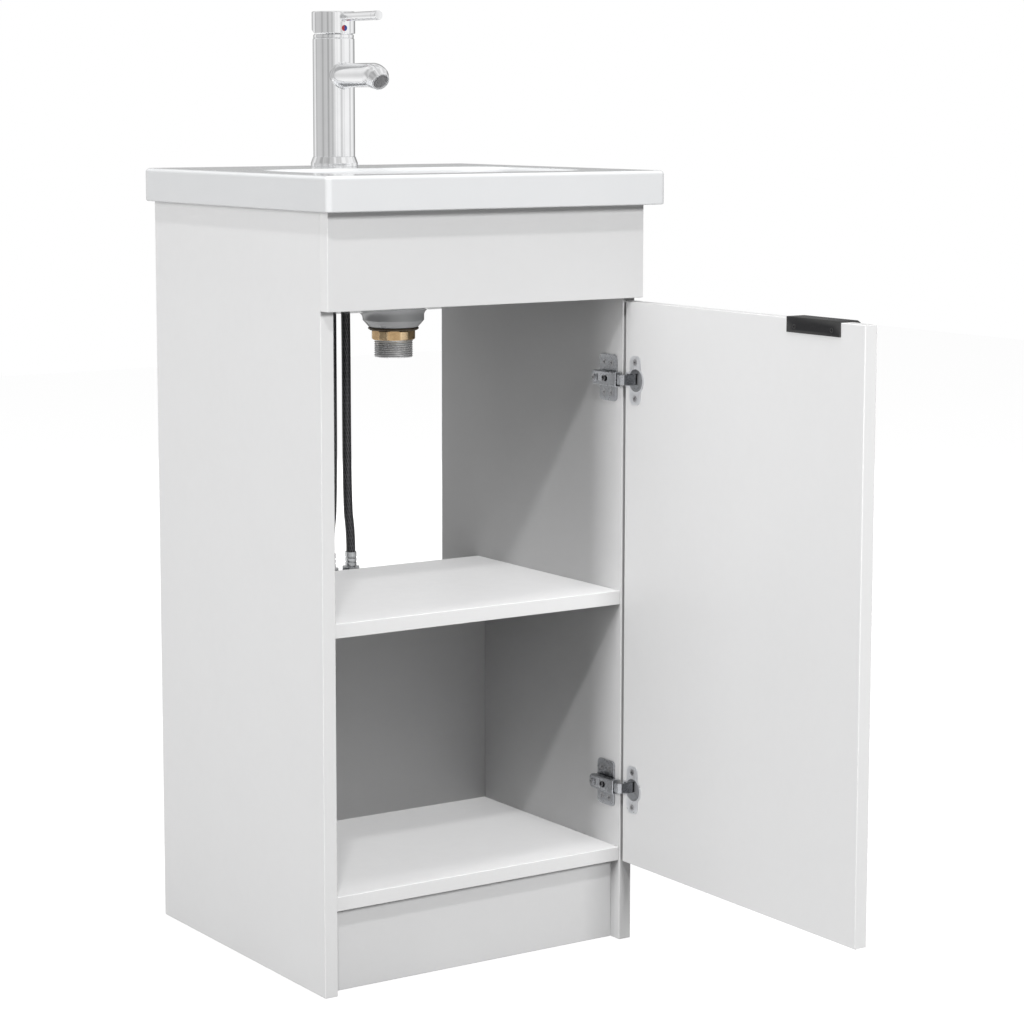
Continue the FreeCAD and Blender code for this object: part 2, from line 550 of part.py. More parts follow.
def make_tap_fixing():
    """The parts that clamp the tap to the ceramic deck from below."""
    deck_under = f"({DECK} - dim.deck_thickness)"
    stud_y = "dim.tap_y + 9"
    stud = cylinder("fixing_stud", "3", "48", "0", stud_y, f"{deck_under} - 40")
    node("fixing_stud", stud)
    for name, level, thickness in (("fixing_seal", 2, 2), ("fixing_washer", 5, 3)):
        disc = cylinder(f"{name}_disc", "22", str(thickness), "0", "dim.tap_y",
                        f"{deck_under} - {level}")
        gap = block(f"{name}_gap", ("-15", "30"), ("dim.tap_y - 30", "34"),
                    (f"{deck_under} - 7", "10"))
        node(name, cut(name, disc, gap, stud))
    nut_flats = hexagon("fixing_nut_flats", "10", "6", "0", stud_y, f"{deck_under} - 11")
    node("fixing_nut", cut("fixing_nut", nut_flats, stud))


# ---------------------------------------------------------------- supply hoses

# Each hose's route below its upper ferrule, for the hose on the +X side; the other is mirrored.
# (x, y) from the tap's axis and z from the floor.
HOSE_ROUTE = [
    (7.0, -4.0, 800.0), (7.0, -4.0, 768.0), (9.1, -7.6, 704.0), (9.1, -7.6, 458.0),
    (13.6, -7.6, 426.0), (13.6, -7.6, 404.0),
]


def route_path(points):
    """Straight runs joined by tangent arcs, each arc as large as its two runs allow."""
    edges, radii = [], []
    last = points[0]
    for before, corner, after in zip(points, points[1:], points[2:]):
        into, out = (corner - before), (after - corner)
        turn = into.getAngle(out)
        reach = 0.45 * min(into.Length, out.Length)
        into.normalize()
        out.normalize()
        start, end = corner - into * reach, corner + out * reach
        bisector = (out - into).normalize()
        radius = reach / math.tan(turn / 2)
        centre = corner + bisector * (radius / math.cos(turn / 2))
        middle = centre - bisector * radius
        edges.append(Part.LineSegment(last, start).toShape())
        edges.append(Part.Arc(start, middle, end).toShape())
        radii.append(radius)
        last = end
    edges.append(Part.LineSegment(last, points[-1]).toShape())
    return Part.Wire(edges), radii


def make_hoses():
    tap_y = value("dim.tap_y")
    radius = value("dim.hose_radius")
    shank_end = f"({DECK} - dim.shank_length)"
    ferrules = []
    for name, sign in (("hot_hose", -1), ("cold_hose", 1)):
        points = [FreeCAD.Vector(sign * x, tap_y + y, z) for x, y, z in HOSE_ROUTE]
        path, radii = route_path(points)
        print(name, "bend radii", [round(r) for r in radii], "length", round(path.Length, 1))
        section = Part.Wire(Part.makeCircle(radius, points[0], FreeCAD.Vector(0, 0, -1)))
        hose = doc.addObject("Part::Feature", name)
        hose.Shape = path.makePipeShell([section], True, False)
        area = math.pi * radius ** 2
        assert abs(hose.Shape.Volume / (area * path.Length) - 1) < 0.01, name
        node(name, hose)
        top, end = HOSE_ROUTE[0], HOSE_ROUTE[-1]
        at = (f"{sign} * {top[0]}", f"dim.tap_y + {top[1]}")
        ferrules.append(cylinder(f"{name}_upper_ferrule", "dim.ferrule_radius",
                                 f"{shank_end} - {top[2]}", *at, str(top[2])))
        at = (f"{sign} * {end[0]}", f"dim.tap_y + {end[1]}")
        node(f"{name}_ferrule", turned(f"{name}_ferrule", [
            ("0", "0"), ("dim.ferrule_radius - 1.4", "0"), ("dim.ferrule_radius - 1.4", "6"),
            ("dim.ferrule_radius", "6"), ("dim.ferrule_radius", "dim.ferrule_length"),
            ("0", "dim.ferrule_length"),
        ], *at, f"{end[2]} - dim.ferrule_length"))
        nut_z = f"{end[2]} - dim.ferrule_length - dim.hose_nut_length + 5"
        flats = hexagon(f"{name}_nut_flats", "dim.hose_nut_flats", "dim.hose_nut_length", *at, nut_z)
        bore = cylinder(f"{name}_nut_bore", "dim.hose_nut_bore", "dim.hose_nut_length - 4.9",
                        *at, f"{nut_z} - 0.1")
        neck = cylinder(f"{name}_nut_neck", "dim.ferrule_radius - 1.4", "10",
                        *at, f"{nut_z} + dim.hose_nut_length - 6")
        node(f"{name}_nut", cut(f"{name}_nut", flats, bore, neck))
    node("hose_upper_ferrules", group("hose_upper_ferrules", ferrules))


# ---------------------------------------------------------------- concealed hinges

def cross_recess(name, x, y, z, reach):
    """Two crossed slots sunk from the plane x along +X, as a cross-head driver's recess."""
    width = "dim.recess_width_small"
    start = (f"{x} - 1", "dim.recess_sink + 1")
    upright = block(f"{name}_upright", start, (f"{y} - {width} / 2", width),
                    (f"{z} - ({reach})", f"2 * ({reach})"))
    level = block(f"{name}_level", start, (f"{y} - ({reach})", f"2 * ({reach})"),
                  (f"{z} - {width} / 2", width))
    return fuse(name, upright, level)


def screw(name, x, y, z, head="dim.screw_head_radius", shank="dim.screw_radius",
          length="dim.screw_length"):
    """A countersunk cross-head screw along +X: its head's outer face is at the plane x."""
    head_part = cone(f"{name}_head", head, shank, "1.8", x, y, z, "X")
    shank_part = cylinder(f"{name}_shank", shank, length, x, y, z, "X")
    recess = cross_recess(f"{name}_recess", x, y, z, f"{head} * 0.6")
    whole = fuse(f"{name}_whole", head_part, shank_part)
    return whole, cut(name, whole, recess)


def make_hinges():
    plate_screws, cup_screws, arm_screws, rivets, pins = [], [], [], [], []
    panel_holes, door_holes = [], []
    front_level = value(FRONT)
    arm_level = value(f"{INNER_RIGHT} - dim.arm_stand")

    def at_rear(edge):
        return runs_along_x(edge) and edge.BoundBox.YMin > front_level + 10

    for level, z in HINGE_LEVELS.items():
        name = f"{level}_hinge"
        # mounting plate on the side panel
        base = block(f"{name}_base_blank", (f"{INNER_RIGHT} - dim.base_metal", "dim.base_metal"),
                     (f"{FRONT} + dim.base_front", "dim.base_width"),
                     (f"{z} - dim.base_height / 2", "dim.base_height"))
        base = rounded(f"{name}_base", base, "dim.base_round", runs_along_x)
        spine = block(f"{name}_spine_blank", (f"{INNER_RIGHT} - dim.base_block", "dim.base_block"),
                      (f"{FRONT} + dim.base_front - 4", "dim.base_width + 5"), (f"{z} - 6.2", "12.4"))
        spine = rounded(f"{name}_spine", spine, "dim.arm_round - dim.arm_metal", at_rear)
        holes = []
        for i, (dy, side) in enumerate(((12, "-"), (25, "-"), (12, "+"), (25, "+"))):
            hole, finished = screw(f"{name}_plate_screw_{i}", f"{INNER_RIGHT} - dim.base_metal",
                                   f"{FRONT} + dim.base_front + {dy - 3.5}", f"{z} {side} 16")
            holes.append(hole)
            plate_screws.append(finished)
        panel_holes += holes
        # arm: a channel over the spine, clamped by two screws
        arm_x = f"({INNER_RIGHT} - dim.arm_stand)"
        shell = block(f"{name}_arm_blank", (arm_x, "7"), (f"{FRONT} - 1", "dim.arm_length + 1"),
                      (f"{z} - dim.arm_height / 2", "dim.arm_height"))
        shell = rounded(f"{name}_arm_corners", shell, "dim.arm_round", at_rear)
        shell = rounded(f"{name}_arm_shell", shell, "dim.arm_edge_round",
                        lambda edge: edge.BoundBox.XMax < arm_level + 0.01)
        inside = block(f"{name}_arm_pocket", (f"{arm_x} + dim.arm_metal", "7"),
                       (f"{FRONT} - 2", "dim.arm_length + 2 - dim.arm_metal"),
                       (f"{z} - dim.arm_height / 2 + dim.arm_metal", "dim.arm_height - 2 * dim.arm_metal"))
        inside = rounded(f"{name}_arm_inside", inside, "dim.arm_round - dim.arm_metal", at_rear)
        slot = block(f"{name}_arm_slot", (f"{arm_x} - 1", "3"), (f"{FRONT} + 30.5", "2"),
                     (f"{z} - 3.8", "7.6"))
        relief = block(f"{name}_arm_relief", (f"{arm_x} - 1", "3"), (f"{FRONT} + 13", "10"),
                       (f"{z} - 3.1", "6.2"))
        relief = rounded(f"{name}_arm_keyhole", relief, "3", runs_along_x)
        fixing = []
        for i, (dy, stand) in enumerate(((19.5, "0"), (36.7, "-1.6"))):
            head = cylinder(f"{name}_arm_screw_{i}_head", "2.9", "1.6", f"{arm_x} + {stand}",
                            f"{FRONT} + {dy}", z, "X")
            shank = cylinder(f"{name}_arm_screw_{i}_shank", "2", "9", f"{arm_x} - 1",
                             f"{FRONT} + {dy}", z, "X")
            recess = cross_recess(f"{name}_arm_screw_{i}_recess", f"{arm_x} + {stand}",
                                  f"{FRONT} + {dy}", z, "1.9")
            whole = fuse(f"{name}_arm_screw_{i}_whole", head, shank)
            fixing.append(whole)
            arm_screws.append(cut(f"{name}_arm_screw_{i}", whole, recess))
        rivet_x = f"({arm_x} + dim.arm_metal + 0.5 + dim.link_metal / 2)"
        rivet = cylinder(f"{name}_rivet", "0.7", "dim.arm_height", rivet_x, f"{FRONT} + 4",
                         f"{z} - dim.arm_height / 2")
        rivets.append(rivet)
        node(f"{name}_plate", cut(f"{name}_plate", fuse(f"{name}_plate_blank", base, spine),
                                  *holes, *fixing))
        node(f"{name}_arm", cut(f"{name}_arm", shell, inside, slot, relief, rivet, *fixing))
        # link: a bent strip from the arm into the cup, ending in the knuckle round the pin
        link_x = f"({arm_x} + dim.arm_metal + 0.5)"
        knuckle_low = f"{PIVOT_Y} - dim.knuckle_radius"
        strip = extruded(f"{name}_strip", "XY_Plane", [
            (link_x, f"{FRONT} + 8"), (link_x, f"{knuckle_low} + 3"),
            (f"{link_x} + 3", knuckle_low), (PIVOT_X, knuckle_low),
            (PIVOT_X, f"{knuckle_low} + dim.link_metal"),
            (f"{link_x} + 3.8", f"{knuckle_low} + dim.link_metal"),
            (f"{link_x} + dim.link_metal", f"{knuckle_low} + 3.8"),
            (f"{link_x} + dim.link_metal", f"{FRONT} + 8"),
        ], "dim.link_height", "0", "0", f"{z} - dim.link_height / 2")
        knuckle = cylinder(f"{name}_knuckle", "dim.knuckle_radius", "dim.link_height",
                           PIVOT_X, PIVOT_Y, f"{z} - dim.link_height / 2")
        knuckle_bore = cylinder(f"{name}_knuckle_bore", "dim.hinge_pin_radius + dim.running_clearance",
                                "20", PIVOT_X, PIVOT_Y, f"{z} - 10")
        node(f"{name}_link", cut(f"{name}_link", fuse(f"{name}_link_blank", strip, knuckle),
                                 knuckle_bore, rivet))
        # cup in the door, with a pocket towards the door's edge that holds the pin
        cup_y = f"({DOOR_EDGE} - dim.cup_edge)"
        pocket_y = f"({DOOR_EDGE} - dim.pocket_edge)"
        outer = cup_shape(f"{name}_cup_outer", z, "0", cup_y, pocket_y, "dim.cup_depth")
        inner = cup_shape(f"{name}_cup_inner", z, "dim.cup_wall", cup_y, pocket_y,
                          "dim.cup_depth - dim.cup_wall")
        flange = block(f"{name}_flange_blank",
                       (f"{DOOR_FACE} - dim.plate_metal", "dim.plate_metal"),
                       (f"{cup_y} + 1 - dim.plate_width / 2", "dim.plate_width"),
                       (f"{z} - dim.plate_height / 2", "dim.plate_height"))
        flange = rounded(f"{name}_flange", flange, "dim.flange_round", runs_along_x)
        rim = cup_shape(f"{name}_cup_rim", z, "-1", cup_y, pocket_y, "dim.plate_metal",
                        f"{DOOR_FACE} - dim.plate_metal")
        mouth = cup_shape(f"{name}_cup_mouth", z, "dim.cup_wall", cup_y, pocket_y, "6",
                          f"{DOOR_FACE} - 4")
        pin = cylinder(f"{name}_pin", "dim.hinge_pin_radius", "dim.pocket_height",
                       PIVOT_X, PIVOT_Y, f"{z} - dim.pocket_height / 2")
        pins.append(pin)
        holes = []
        for i, side in enumerate("-+"):
            hole, finished = screw(f"{name}_cup_screw_{i}", f"{DOOR_FACE} - dim.plate_metal",
                                   f"{cup_y} + 1", f"{z} {side} dim.cup_screw_spacing / 2")
            holes.append(hole)
            cup_screws.append(finished)
        cup = fuse(f"{name}_cup_blank", outer, flange, rim)
        node(f"{name}_cup", cut(f"{name}_cup", cup, inner, mouth, pin, *holes))
        door_holes += [outer, *holes]
    node("hinge_plate_screws", group("hinge_plate_screws", plate_screws))
    node("hinge_arm_screws", group("hinge_arm_screws", arm_screws))
    node("hinge_rivets", group("hinge_rivets", rivets))
    node("hinge_pins", group("hinge_pins", pins))
    node("hinge_cup_screws", group("hinge_cup_screws", cup_screws))
    return panel_holes, door_holes


def runs_along_x(edge):
    box = edge.BoundBox
    return box.XLength > 0.5 and box.YLength < 0.01 and box.ZLength < 0.01


def cup_shape(name, z, inset, cup_y, pocket_y, depth, start=DOOR_FACE):
    """The round cup and its pocket as one solid, all sides drawn in by inset."""
    bowl = cylinder(f"{name}_round", f"dim.cup_radius - ({inset})", depth, start, cup_y, z, "X")
    pocket = block(f"{name}_pocket", (start, depth), (cup_y, f"{pocket_y} - ({inset}) - {cup_y}"),
                   (f"{z} - dim.pocket_height / 2 + ({inset})", f"dim.pocket_height - 2 * ({inset})"))
    return fuse(name, bowl, pocket)


# ---------------------------------------------------------------- door

def make_door(hinge_holes):
    handle_y = f"({DOOR_EDGE} - dim.door_width + dim.handle_inset)"
    holes, screws = [], []
    for i, share in enumerate((0.15, 0.85)):
        hole, finished = screw(f"handle_screw_{i}", f"{DOOR_FACE} - dim.handle_metal - 0.3",
                               f"{handle_y} + {share} * dim.handle_length", f"{DOOR_TOP} - 8",
                               "2.6", "1.4", "11")
        holes.append(hole)
        screws.append(finished)
    blank = block("door_blank", (DOOR_FACE, "dim.board"),
                  (f"{DOOR_EDGE} - dim.door_width", "dim.door_width"),
                  ("dim.plinth_height", DOOR_HEIGHT))
    panel = rounded("door_rounded", blank, "dim.plate_metal", lambda edge: edge.Length > 20)
    node("door_panel", cut("door_panel", panel, *hinge_holes, *holes))
    # edge pull: hooks over the door's top edge and ends in a short lip in front of it
    metal, reach = "dim.handle_metal", "dim.board + dim.handle_lip"
    pull = extruded("door_handle_blank", "XZ_Plane", [
        (f"-{metal}", "-dim.handle_hook"), ("0", "-dim.handle_hook"), ("0", "0"),
        ("dim.board + 5.5", "0"), (f"{reach} - 0.8", "-2"), (reach, "-0.8"),
        ("dim.board + 6.2", metal), (f"-{metal}", metal),
    ], "dim.handle_length", DOOR_FACE, f"{handle_y} + dim.handle_length", DOOR_TOP)
    node("door_handle", cut("door_handle", pull, *holes))
    node("handle_screws", group("handle_screws", screws))


# ---------------------------------------------------------------- build, check and write

panel_holes, door_holes = make_hinges()
make_fixings()
make_boards(panel_holes)
make_basin()
make_waste()
make_tap_fixing()
make_tap_body()
make_lever()
make_hoses()
make_door(door_holes)
doc.recompute()

for feature in doc.Objects:
    if "Invalid" in feature.State or "Error" in feature.State:
        raise RuntimeError(f"{feature.Name} failed: {feature.State}")

os.makedirs("parts", exist_ok=True)
for name, feature in nodes.items():
    shape = feature.Shape
    if shape.isNull() or not shape.isValid() or not shape.Solids:
        raise RuntimeError(f"{name} has no valid solid")
    shape.exportStep(os.path.join("parts", f"{name}.step"))
    print(f"{name:24s} solids {len(shape.Solids):3d}  volume {shape.Volume:12.1f}")
print(len(nodes), "nodes")
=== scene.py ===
"""Bathroom vanity cabinet with a ceramic basin and a mixer tap: the visual model.

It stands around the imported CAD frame. Shapes are given in millimetres and scaled by MM."""
import json
import math

import bmesh
import bpy
from mathutils import Matrix, Vector

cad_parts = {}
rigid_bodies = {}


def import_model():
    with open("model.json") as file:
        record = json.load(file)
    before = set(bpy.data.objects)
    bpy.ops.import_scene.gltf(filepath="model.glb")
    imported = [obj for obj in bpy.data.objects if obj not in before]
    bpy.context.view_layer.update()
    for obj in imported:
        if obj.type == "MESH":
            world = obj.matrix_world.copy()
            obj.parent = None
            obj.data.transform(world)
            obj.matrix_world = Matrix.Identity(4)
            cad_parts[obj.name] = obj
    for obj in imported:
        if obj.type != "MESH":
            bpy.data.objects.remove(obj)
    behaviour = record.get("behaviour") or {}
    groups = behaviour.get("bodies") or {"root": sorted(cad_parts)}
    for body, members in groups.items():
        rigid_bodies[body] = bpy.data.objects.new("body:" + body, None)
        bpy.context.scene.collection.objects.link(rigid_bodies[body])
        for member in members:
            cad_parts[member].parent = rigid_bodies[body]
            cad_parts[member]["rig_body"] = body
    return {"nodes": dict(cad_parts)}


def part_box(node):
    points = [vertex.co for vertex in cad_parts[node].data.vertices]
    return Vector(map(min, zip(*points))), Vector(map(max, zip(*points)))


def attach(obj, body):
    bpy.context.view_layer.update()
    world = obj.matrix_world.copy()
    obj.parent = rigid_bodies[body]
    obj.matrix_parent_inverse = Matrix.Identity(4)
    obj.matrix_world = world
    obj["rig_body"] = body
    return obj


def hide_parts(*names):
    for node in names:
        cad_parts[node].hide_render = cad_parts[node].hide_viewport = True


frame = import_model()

MM = 0.001
scene = bpy.context.scene
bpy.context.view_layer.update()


# ---------------------------------------------------------------- camera

camera = bpy.data.objects.new("camera", bpy.data.cameras.new("camera"))
scene.collection.objects.link(camera)
camera.location = (-1.5678, -2.5589, 0.9087)
camera.rotation_euler = (math.radians(82.6167), 0, math.radians(-33.3354))
camera.data.lens = 97.925
camera.data.sensor_width = 36
camera.data.shift_x = 0.03
camera.data.shift_y = -0.05
scene.camera = camera


# ---------------------------------------------------------------- levels and places, in millimetres

DECK = 835.5                # top of the basin's deck
DECK_UNDER = 821.5          # underside of the deck
SLAB_UNDER = 800.0          # lower edge of the slab, which stands on the boards
WASTE_SEAT = 691.3          # the waste flange rests here
BOSS_BOTTOM = 666.0
WASTE = Vector((0, -3, 0))
TAP = Vector((0, 120.6, 0))
SPOUT_Z = DECK + 99.8
CAP_BASE = 980.7            # lowest edge of the lever's cap


# ---------------------------------------------------------------- materials

MIX_FIRST, MIX_SECOND, MIX_RESULT = 6, 7, 2     # the colour sockets of a Mix node


def set_range(node, start, end, low, high):
    """Sets a Map Range node to map start..end to low..high."""
    node.inputs["From Min"].default_value = start
    node.inputs["From Max"].default_value = end
    node.inputs["To Min"].default_value = low
    node.inputs["To Max"].default_value = high


class Surface:
    """A principled material whose colour, roughness and relief come from noise in object space."""

    def __init__(self, name, colour, roughness, metallic=0.0, **sockets):
        self.material = bpy.data.materials.new(name)
        self.material.use_nodes = True
        self.tree = self.material.node_tree
        self.shader = self.tree.nodes["Principled BSDF"]
        self.colour = (*colour, 1.0)
        self.shader.inputs["Base Color"].default_value = self.colour
        self.shader.inputs["Roughness"].default_value = roughness
        self.shader.inputs["Metallic"].default_value = metallic
        for socket, number in sockets.items():
            self.shader.inputs[socket.replace("_", " ")].default_value = number
        self.place = self.add("TexCoord").outputs["Object"]
        self.colour_from = None
        self.relief_from = None

    def add(self, kind, **settings):
        node = self.tree.nodes.new("ShaderNode" + kind)
        for key, setting in settings.items():
            setattr(node, key, setting)
        return node

    def join(self, output, node, socket):
        self.tree.links.new(output, node.inputs[socket])

    def stretched(self, stretch):
        """Object coordinates scaled along each axis."""
        mapping = self.add("Mapping")
        mapping.inputs["Scale"].default_value = stretch
        self.join(self.place, mapping, "Vector")
        return mapping.outputs["Vector"]

    def noise(self, size, detail=3.0, stretch=None, place=None):
        """Noise whose features are about size millimetres across."""
        node = self.add("TexNoise")
        node.inputs["Scale"].default_value = 1 / (size * MM)
        node.inputs["Detail"].default_value = detail
        if place is None:
            place = self.stretched(stretch) if stretch else self.place
        self.join(place, node, "Vector")
        return node.outputs["Fac"]

    def cells(self, size, feature="F1"):
        node = self.add("TexVoronoi", feature=feature)
        node.inputs["Scale"].default_value = 1 / (size * MM)
        self.join(self.place, node, "Vector")
        return node.outputs["Distance"]

    def spread(self, output, low, high, start=0.3, end=0.7):
        """Maps start..end of a pattern to low..high, clamped."""
        node = self.add("MapRange")
        set_range(node, start, end, low, high)
        self.join(output, node, "Value")
        return node.outputs["Result"]

    def maths(self, operation, first, second):
        node = self.add("Math", operation=operation)
        for socket, term in enumerate((first, second)):
            if isinstance(term, (int, float)):
                node.inputs[socket].default_value = term
            else:
                self.tree.links.new(term, node.inputs[socket])
        return node.outputs[0]

    def tint(self, mask, colour):
        """Mixes another colour in where the mask is 1."""
        node = self.add("Mix", data_type="RGBA")
        self.join(mask, node, "Factor")
        if self.colour_from is None:
            node.inputs[MIX_FIRST].default_value = self.colour
        else:
            self.tree.links.new(self.colour_from, node.inputs[MIX_FIRST])
        node.inputs[MIX_SECOND].default_value = (*colour, 1.0)
        self.colour_from = node.outputs[MIX_RESULT]
        self.join(self.colour_from, self.shader, "Base Color")
        return self

    def rough(self, output, low, high, start=0.3, end=0.7):
        self.join(self.spread(output, low, high, start, end), self.shader, "Roughness")
        return self

    def relief(self, output, height, strength=1.0):
        """Adds relief of about height millimetres from a pattern."""
        node = self.add("Bump")
        node.inputs["Strength"].default_value = strength
        node.inputs["Distance"].default_value = height * MM
        self.join(output, node, "Height")
        if self.relief_from is not None:
            self.join(self.relief_from, node, "Normal")
        self.relief_from = node.outputs["Normal"]
        self.join(self.relief_from, self.shader, "Normal")
        return self

    def pointiness(self):
        return self.add("NewGeometry").outputs["Pointiness"]

    def edges(self, colour, start=0.52, end=0.58):
        """Wear on convex edges."""
        return self.tint(self.spread(self.pointiness(), 0, 1, start, end), colour)

    def corners(self, colour, start=0.48, end=0.42):
        """Painted shade: darkens concave corners, where shade falls."""
        return self.tint(self.spread(self.pointiness(), 0, 1, start, end), colour)


def board_surface(name, colour, roughness, stretch=None):
    """White melamine: faint clouding, a fine pressed stipple and slightly uneven gloss."""
    s = Surface(name, colour, roughness, Specular_IOR_Level=0.4)
    s.tint(s.spread(s.noise(70), 0, 0.5), tuple(c * 0.975 for c in colour))
    s.tint(s.spread(s.noise(9, 5), 0, 0.35), tuple(min(1, c * 1.02) for c in colour))
    s.rough(s.noise(14, 4, stretch), roughness - 0.05, roughness + 0.07)
    s.relief(s.noise(1.1, 2, stretch), 0.035, 0.5)
    s.relief(s.noise(30, 1), 0.15, 0.35)
    return s


def make_surfaces():
    made = {}
    made["white_board"] = board_surface("white_board", (0.72, 0.72, 0.722), 0.42)
    made["edge_band"] = board_surface("edge_band", (0.74, 0.74, 0.74), 0.34, (1, 1, 0.15))

    s = Surface("white_ceramic", (0.74, 0.748, 0.757), 0.08, Coat_Weight=0.35, Coat_Roughness=0.04)
    s.tint(s.spread(s.noise(55), 0, 0.6), (0.72, 0.73, 0.742))
    s.tint(s.spread(s.cells(7), 1, 0, 0.02, 0.045), (0.6, 0.59, 0.57))
    s.rough(s.noise(22, 4), 0.06, 0.13)
    s.relief(s.noise(26, 2), 0.12, 0.5)
    s.relief(s.noise(2.2, 2), 0.006, 0.6)
    made["white_ceramic"] = s

    s = Surface("chrome", (0.9, 0.903, 0.91), 0.08, 1.0)
    s.tint(s.spread(s.noise(18, 4), 0, 0.5), (0.82, 0.825, 0.835))
    s.rough(s.noise(6, 6), 0.05, 0.13)
    s.relief(s.noise(0.8, 3), 0.004, 0.5)
    s.relief(s.noise(12, 1), 0.02, 0.35)
    made["chrome"] = s

    s = Surface("black_rubber", (0.022, 0.022, 0.024), 0.62)
    s.tint(s.spread(s.noise(5, 5), 0, 0.6), (0.05, 0.05, 0.052))
    s.rough(s.noise(3, 4), 0.5, 0.75)
    s.relief(s.noise(0.7, 3), 0.05, 0.6)
    made["black_rubber"] = s

    s = Surface("brown_rubber", (0.085, 0.06, 0.035), 0.5)
    s.tint(s.spread(s.noise(5, 5), 0, 0.6), (0.13, 0.1, 0.06))
    s.rough(s.noise(3, 4), 0.4, 0.62)
    s.relief(s.noise(0.7, 3), 0.05, 0.6)
    made["brown_rubber"] = s

    s = Surface("brass", (0.66, 0.46, 0.25), 0.3, 1.0)
    s.tint(s.spread(s.noise(7, 5), 0, 0.8), (0.5, 0.33, 0.17))
    s.edges((0.86, 0.68, 0.44))
    s.rough(s.noise(3, 5), 0.22, 0.42)
    s.relief(s.noise(0.6, 3, (1, 1, 4)), 0.03, 0.6)
    made["brass"] = s

    s = Surface("mesh_grey", (0.42, 0.42, 0.425), 0.5)
    s.tint(s.spread(s.noise(1.5, 3), 0, 0.7), (0.5, 0.5, 0.51))
    s.edges((0.6, 0.6, 0.61))
    s.rough(s.noise(1, 3), 0.35, 0.6)
    s.relief(s.noise(0.4, 2), 0.02)
    made["mesh_grey"] = s

    s = Surface("cartridge_plastic", (0.6, 0.6, 0.58), 0.45)
    s.tint(s.spread(s.noise(6, 4), 0, 0.6), (0.52, 0.52, 0.5))
    s.rough(s.noise(4, 4), 0.36, 0.56)
    s.relief(s.noise(0.8, 2), 0.02)
    made["cartridge_plastic"] = s

    for name, colour, metallic, low, high in (
        ("steel", (0.56, 0.57, 0.59), 1.0, 0.22, 0.4),
        ("satin_metal", (0.74, 0.74, 0.74), 0.7, 0.26, 0.4),
        ("cup_steel", (0.6, 0.61, 0.63), 0.45, 0.26, 0.4),
        ("zinc", (0.5, 0.51, 0.53), 1.0, 0.35, 0.55),
        ("hose_fitting", (0.55, 0.56, 0.57), 1.0, 0.14, 0.3),
        ("hinge_steel", (0.43, 0.44, 0.46), 1.0, 0.24, 0.34),
        ("screw_steel", (0.36, 0.36, 0.37), 1.0, 0.22, 0.4),
    ):
        s = Surface(name, colour, low, metallic)
        s.tint(s.spread(s.noise(6, 3), 0, 0.7), tuple(c * 0.82 for c in colour))
        # painted shade: concave corners and creases darkened to about a third of the metal's colour
        s.corners(tuple(c * 0.35 for c in colour))
        s.edges(tuple(min(0.9, c * 1.4) for c in colour))
        s.rough(s.noise(5, 3), low, high)
        s.relief(s.noise(0.5, 3, (1, 5, 1)), 0.001, 0.6)
        s.relief(s.noise(5, 2), 0.02, 0.4)
        made[name] = s

    for name, colour in (("index_red", (0.62, 0.02, 0.025)), ("index_blue", (0.02, 0.08, 0.45))):
        s = Surface(name, colour, 0.25, Coat_Weight=0.4)
        s.tint(s.spread(s.noise(1.4, 3), 0, 0.6), tuple(c * 0.8 for c in colour))
        s.rough(s.noise(1, 3), 0.2, 0.36)
        s.relief(s.noise(0.9, 2), 0.01)
        made[name] = s

    s = Surface("black_metal", (0.01, 0.01, 0.011), 0.5, Specular_IOR_Level=0.3)
    s.tint(s.spread(s.noise(8, 4), 0, 0.7), (0.016, 0.016, 0.017))
    s.edges((0.045, 0.045, 0.045))
    s.rough(s.noise(1.2, 4), 0.44, 0.62)
    s.relief(s.cells(0.55), 0.03, 0.7)
    s.relief(s.noise(2.5, 2), 0.03, 0.4)
    made["black_metal"] = s

    s = Surface("dowel_wood", (0.62, 0.43, 0.25), 0.6)
    s.tint(s.spread(s.noise(2, 5, (0.1, 1, 1)), 0, 0.9), (0.45, 0.28, 0.15))
    s.rough(s.noise(3, 4), 0.5, 0.72)
    s.relief(s.noise(0.8, 4, (0.1, 1, 1)), 0.05)
    made["dowel_wood"] = s

    made["hose_braid"] = braid_surface()
    return {name: surface.material for name, surface in made.items()}


BRAID_AROUND, BRAID_PITCH = 12, 9.0


def braid_surface():
    """Braided steel over rubber: two families of flat strands crossing on the tube's UV map."""
    s = Surface("hose_braid", (0.02, 0.02, 0.022), 0.34, 0.6)
    uv = s.add("SeparateXYZ")
    s.join(s.add("TexCoord").outputs["UV"], uv, "Vector")
    around = s.maths("MULTIPLY", uv.outputs["X"], 2 * math.pi * BRAID_AROUND)
    along = s.maths("MULTIPLY", uv.outputs["Y"], 2 * math.pi)
    strands = []
    for operation in ("ADD", "SUBTRACT"):
        wave = s.maths("SINE", s.maths(operation, around, along), 0.0)
        strands.append(s.spread(wave, 0, 1, -0.75, 0.6))
    over = s.maths("SINE", along, 0.0)
    top = s.maths("MAXIMUM", strands[0], s.maths("MULTIPLY", strands[1], 0.8))
    top = s.maths("ADD", s.maths("MULTIPLY", over, 0.06), top)
    s.tint(s.spread(top, 0, 1, 0.35, 0.95), (0.085, 0.085, 0.09))
    s.rough(s.noise(2, 4), 0.28, 0.48)
    s.relief(top, 0.15, 0.8)
    return s


SURFACES = make_surfaces()


# ---------------------------------------------------------------- mesh helpers

def finish_mesh(form, name, sharp=30):
    """Turns a bmesh into a smooth-shaded mesh whose edges over the sharp angle stay crisp."""
    bmesh.ops.recalc_face_normals(form, faces=form.faces)
    mesh = bpy.data.meshes.new(name)
    form.to_mesh(mesh)
    form.free()
    mesh.shade_smooth()
    mesh.set_sharp_from_angle(angle=math.radians(sharp))
    return mesh


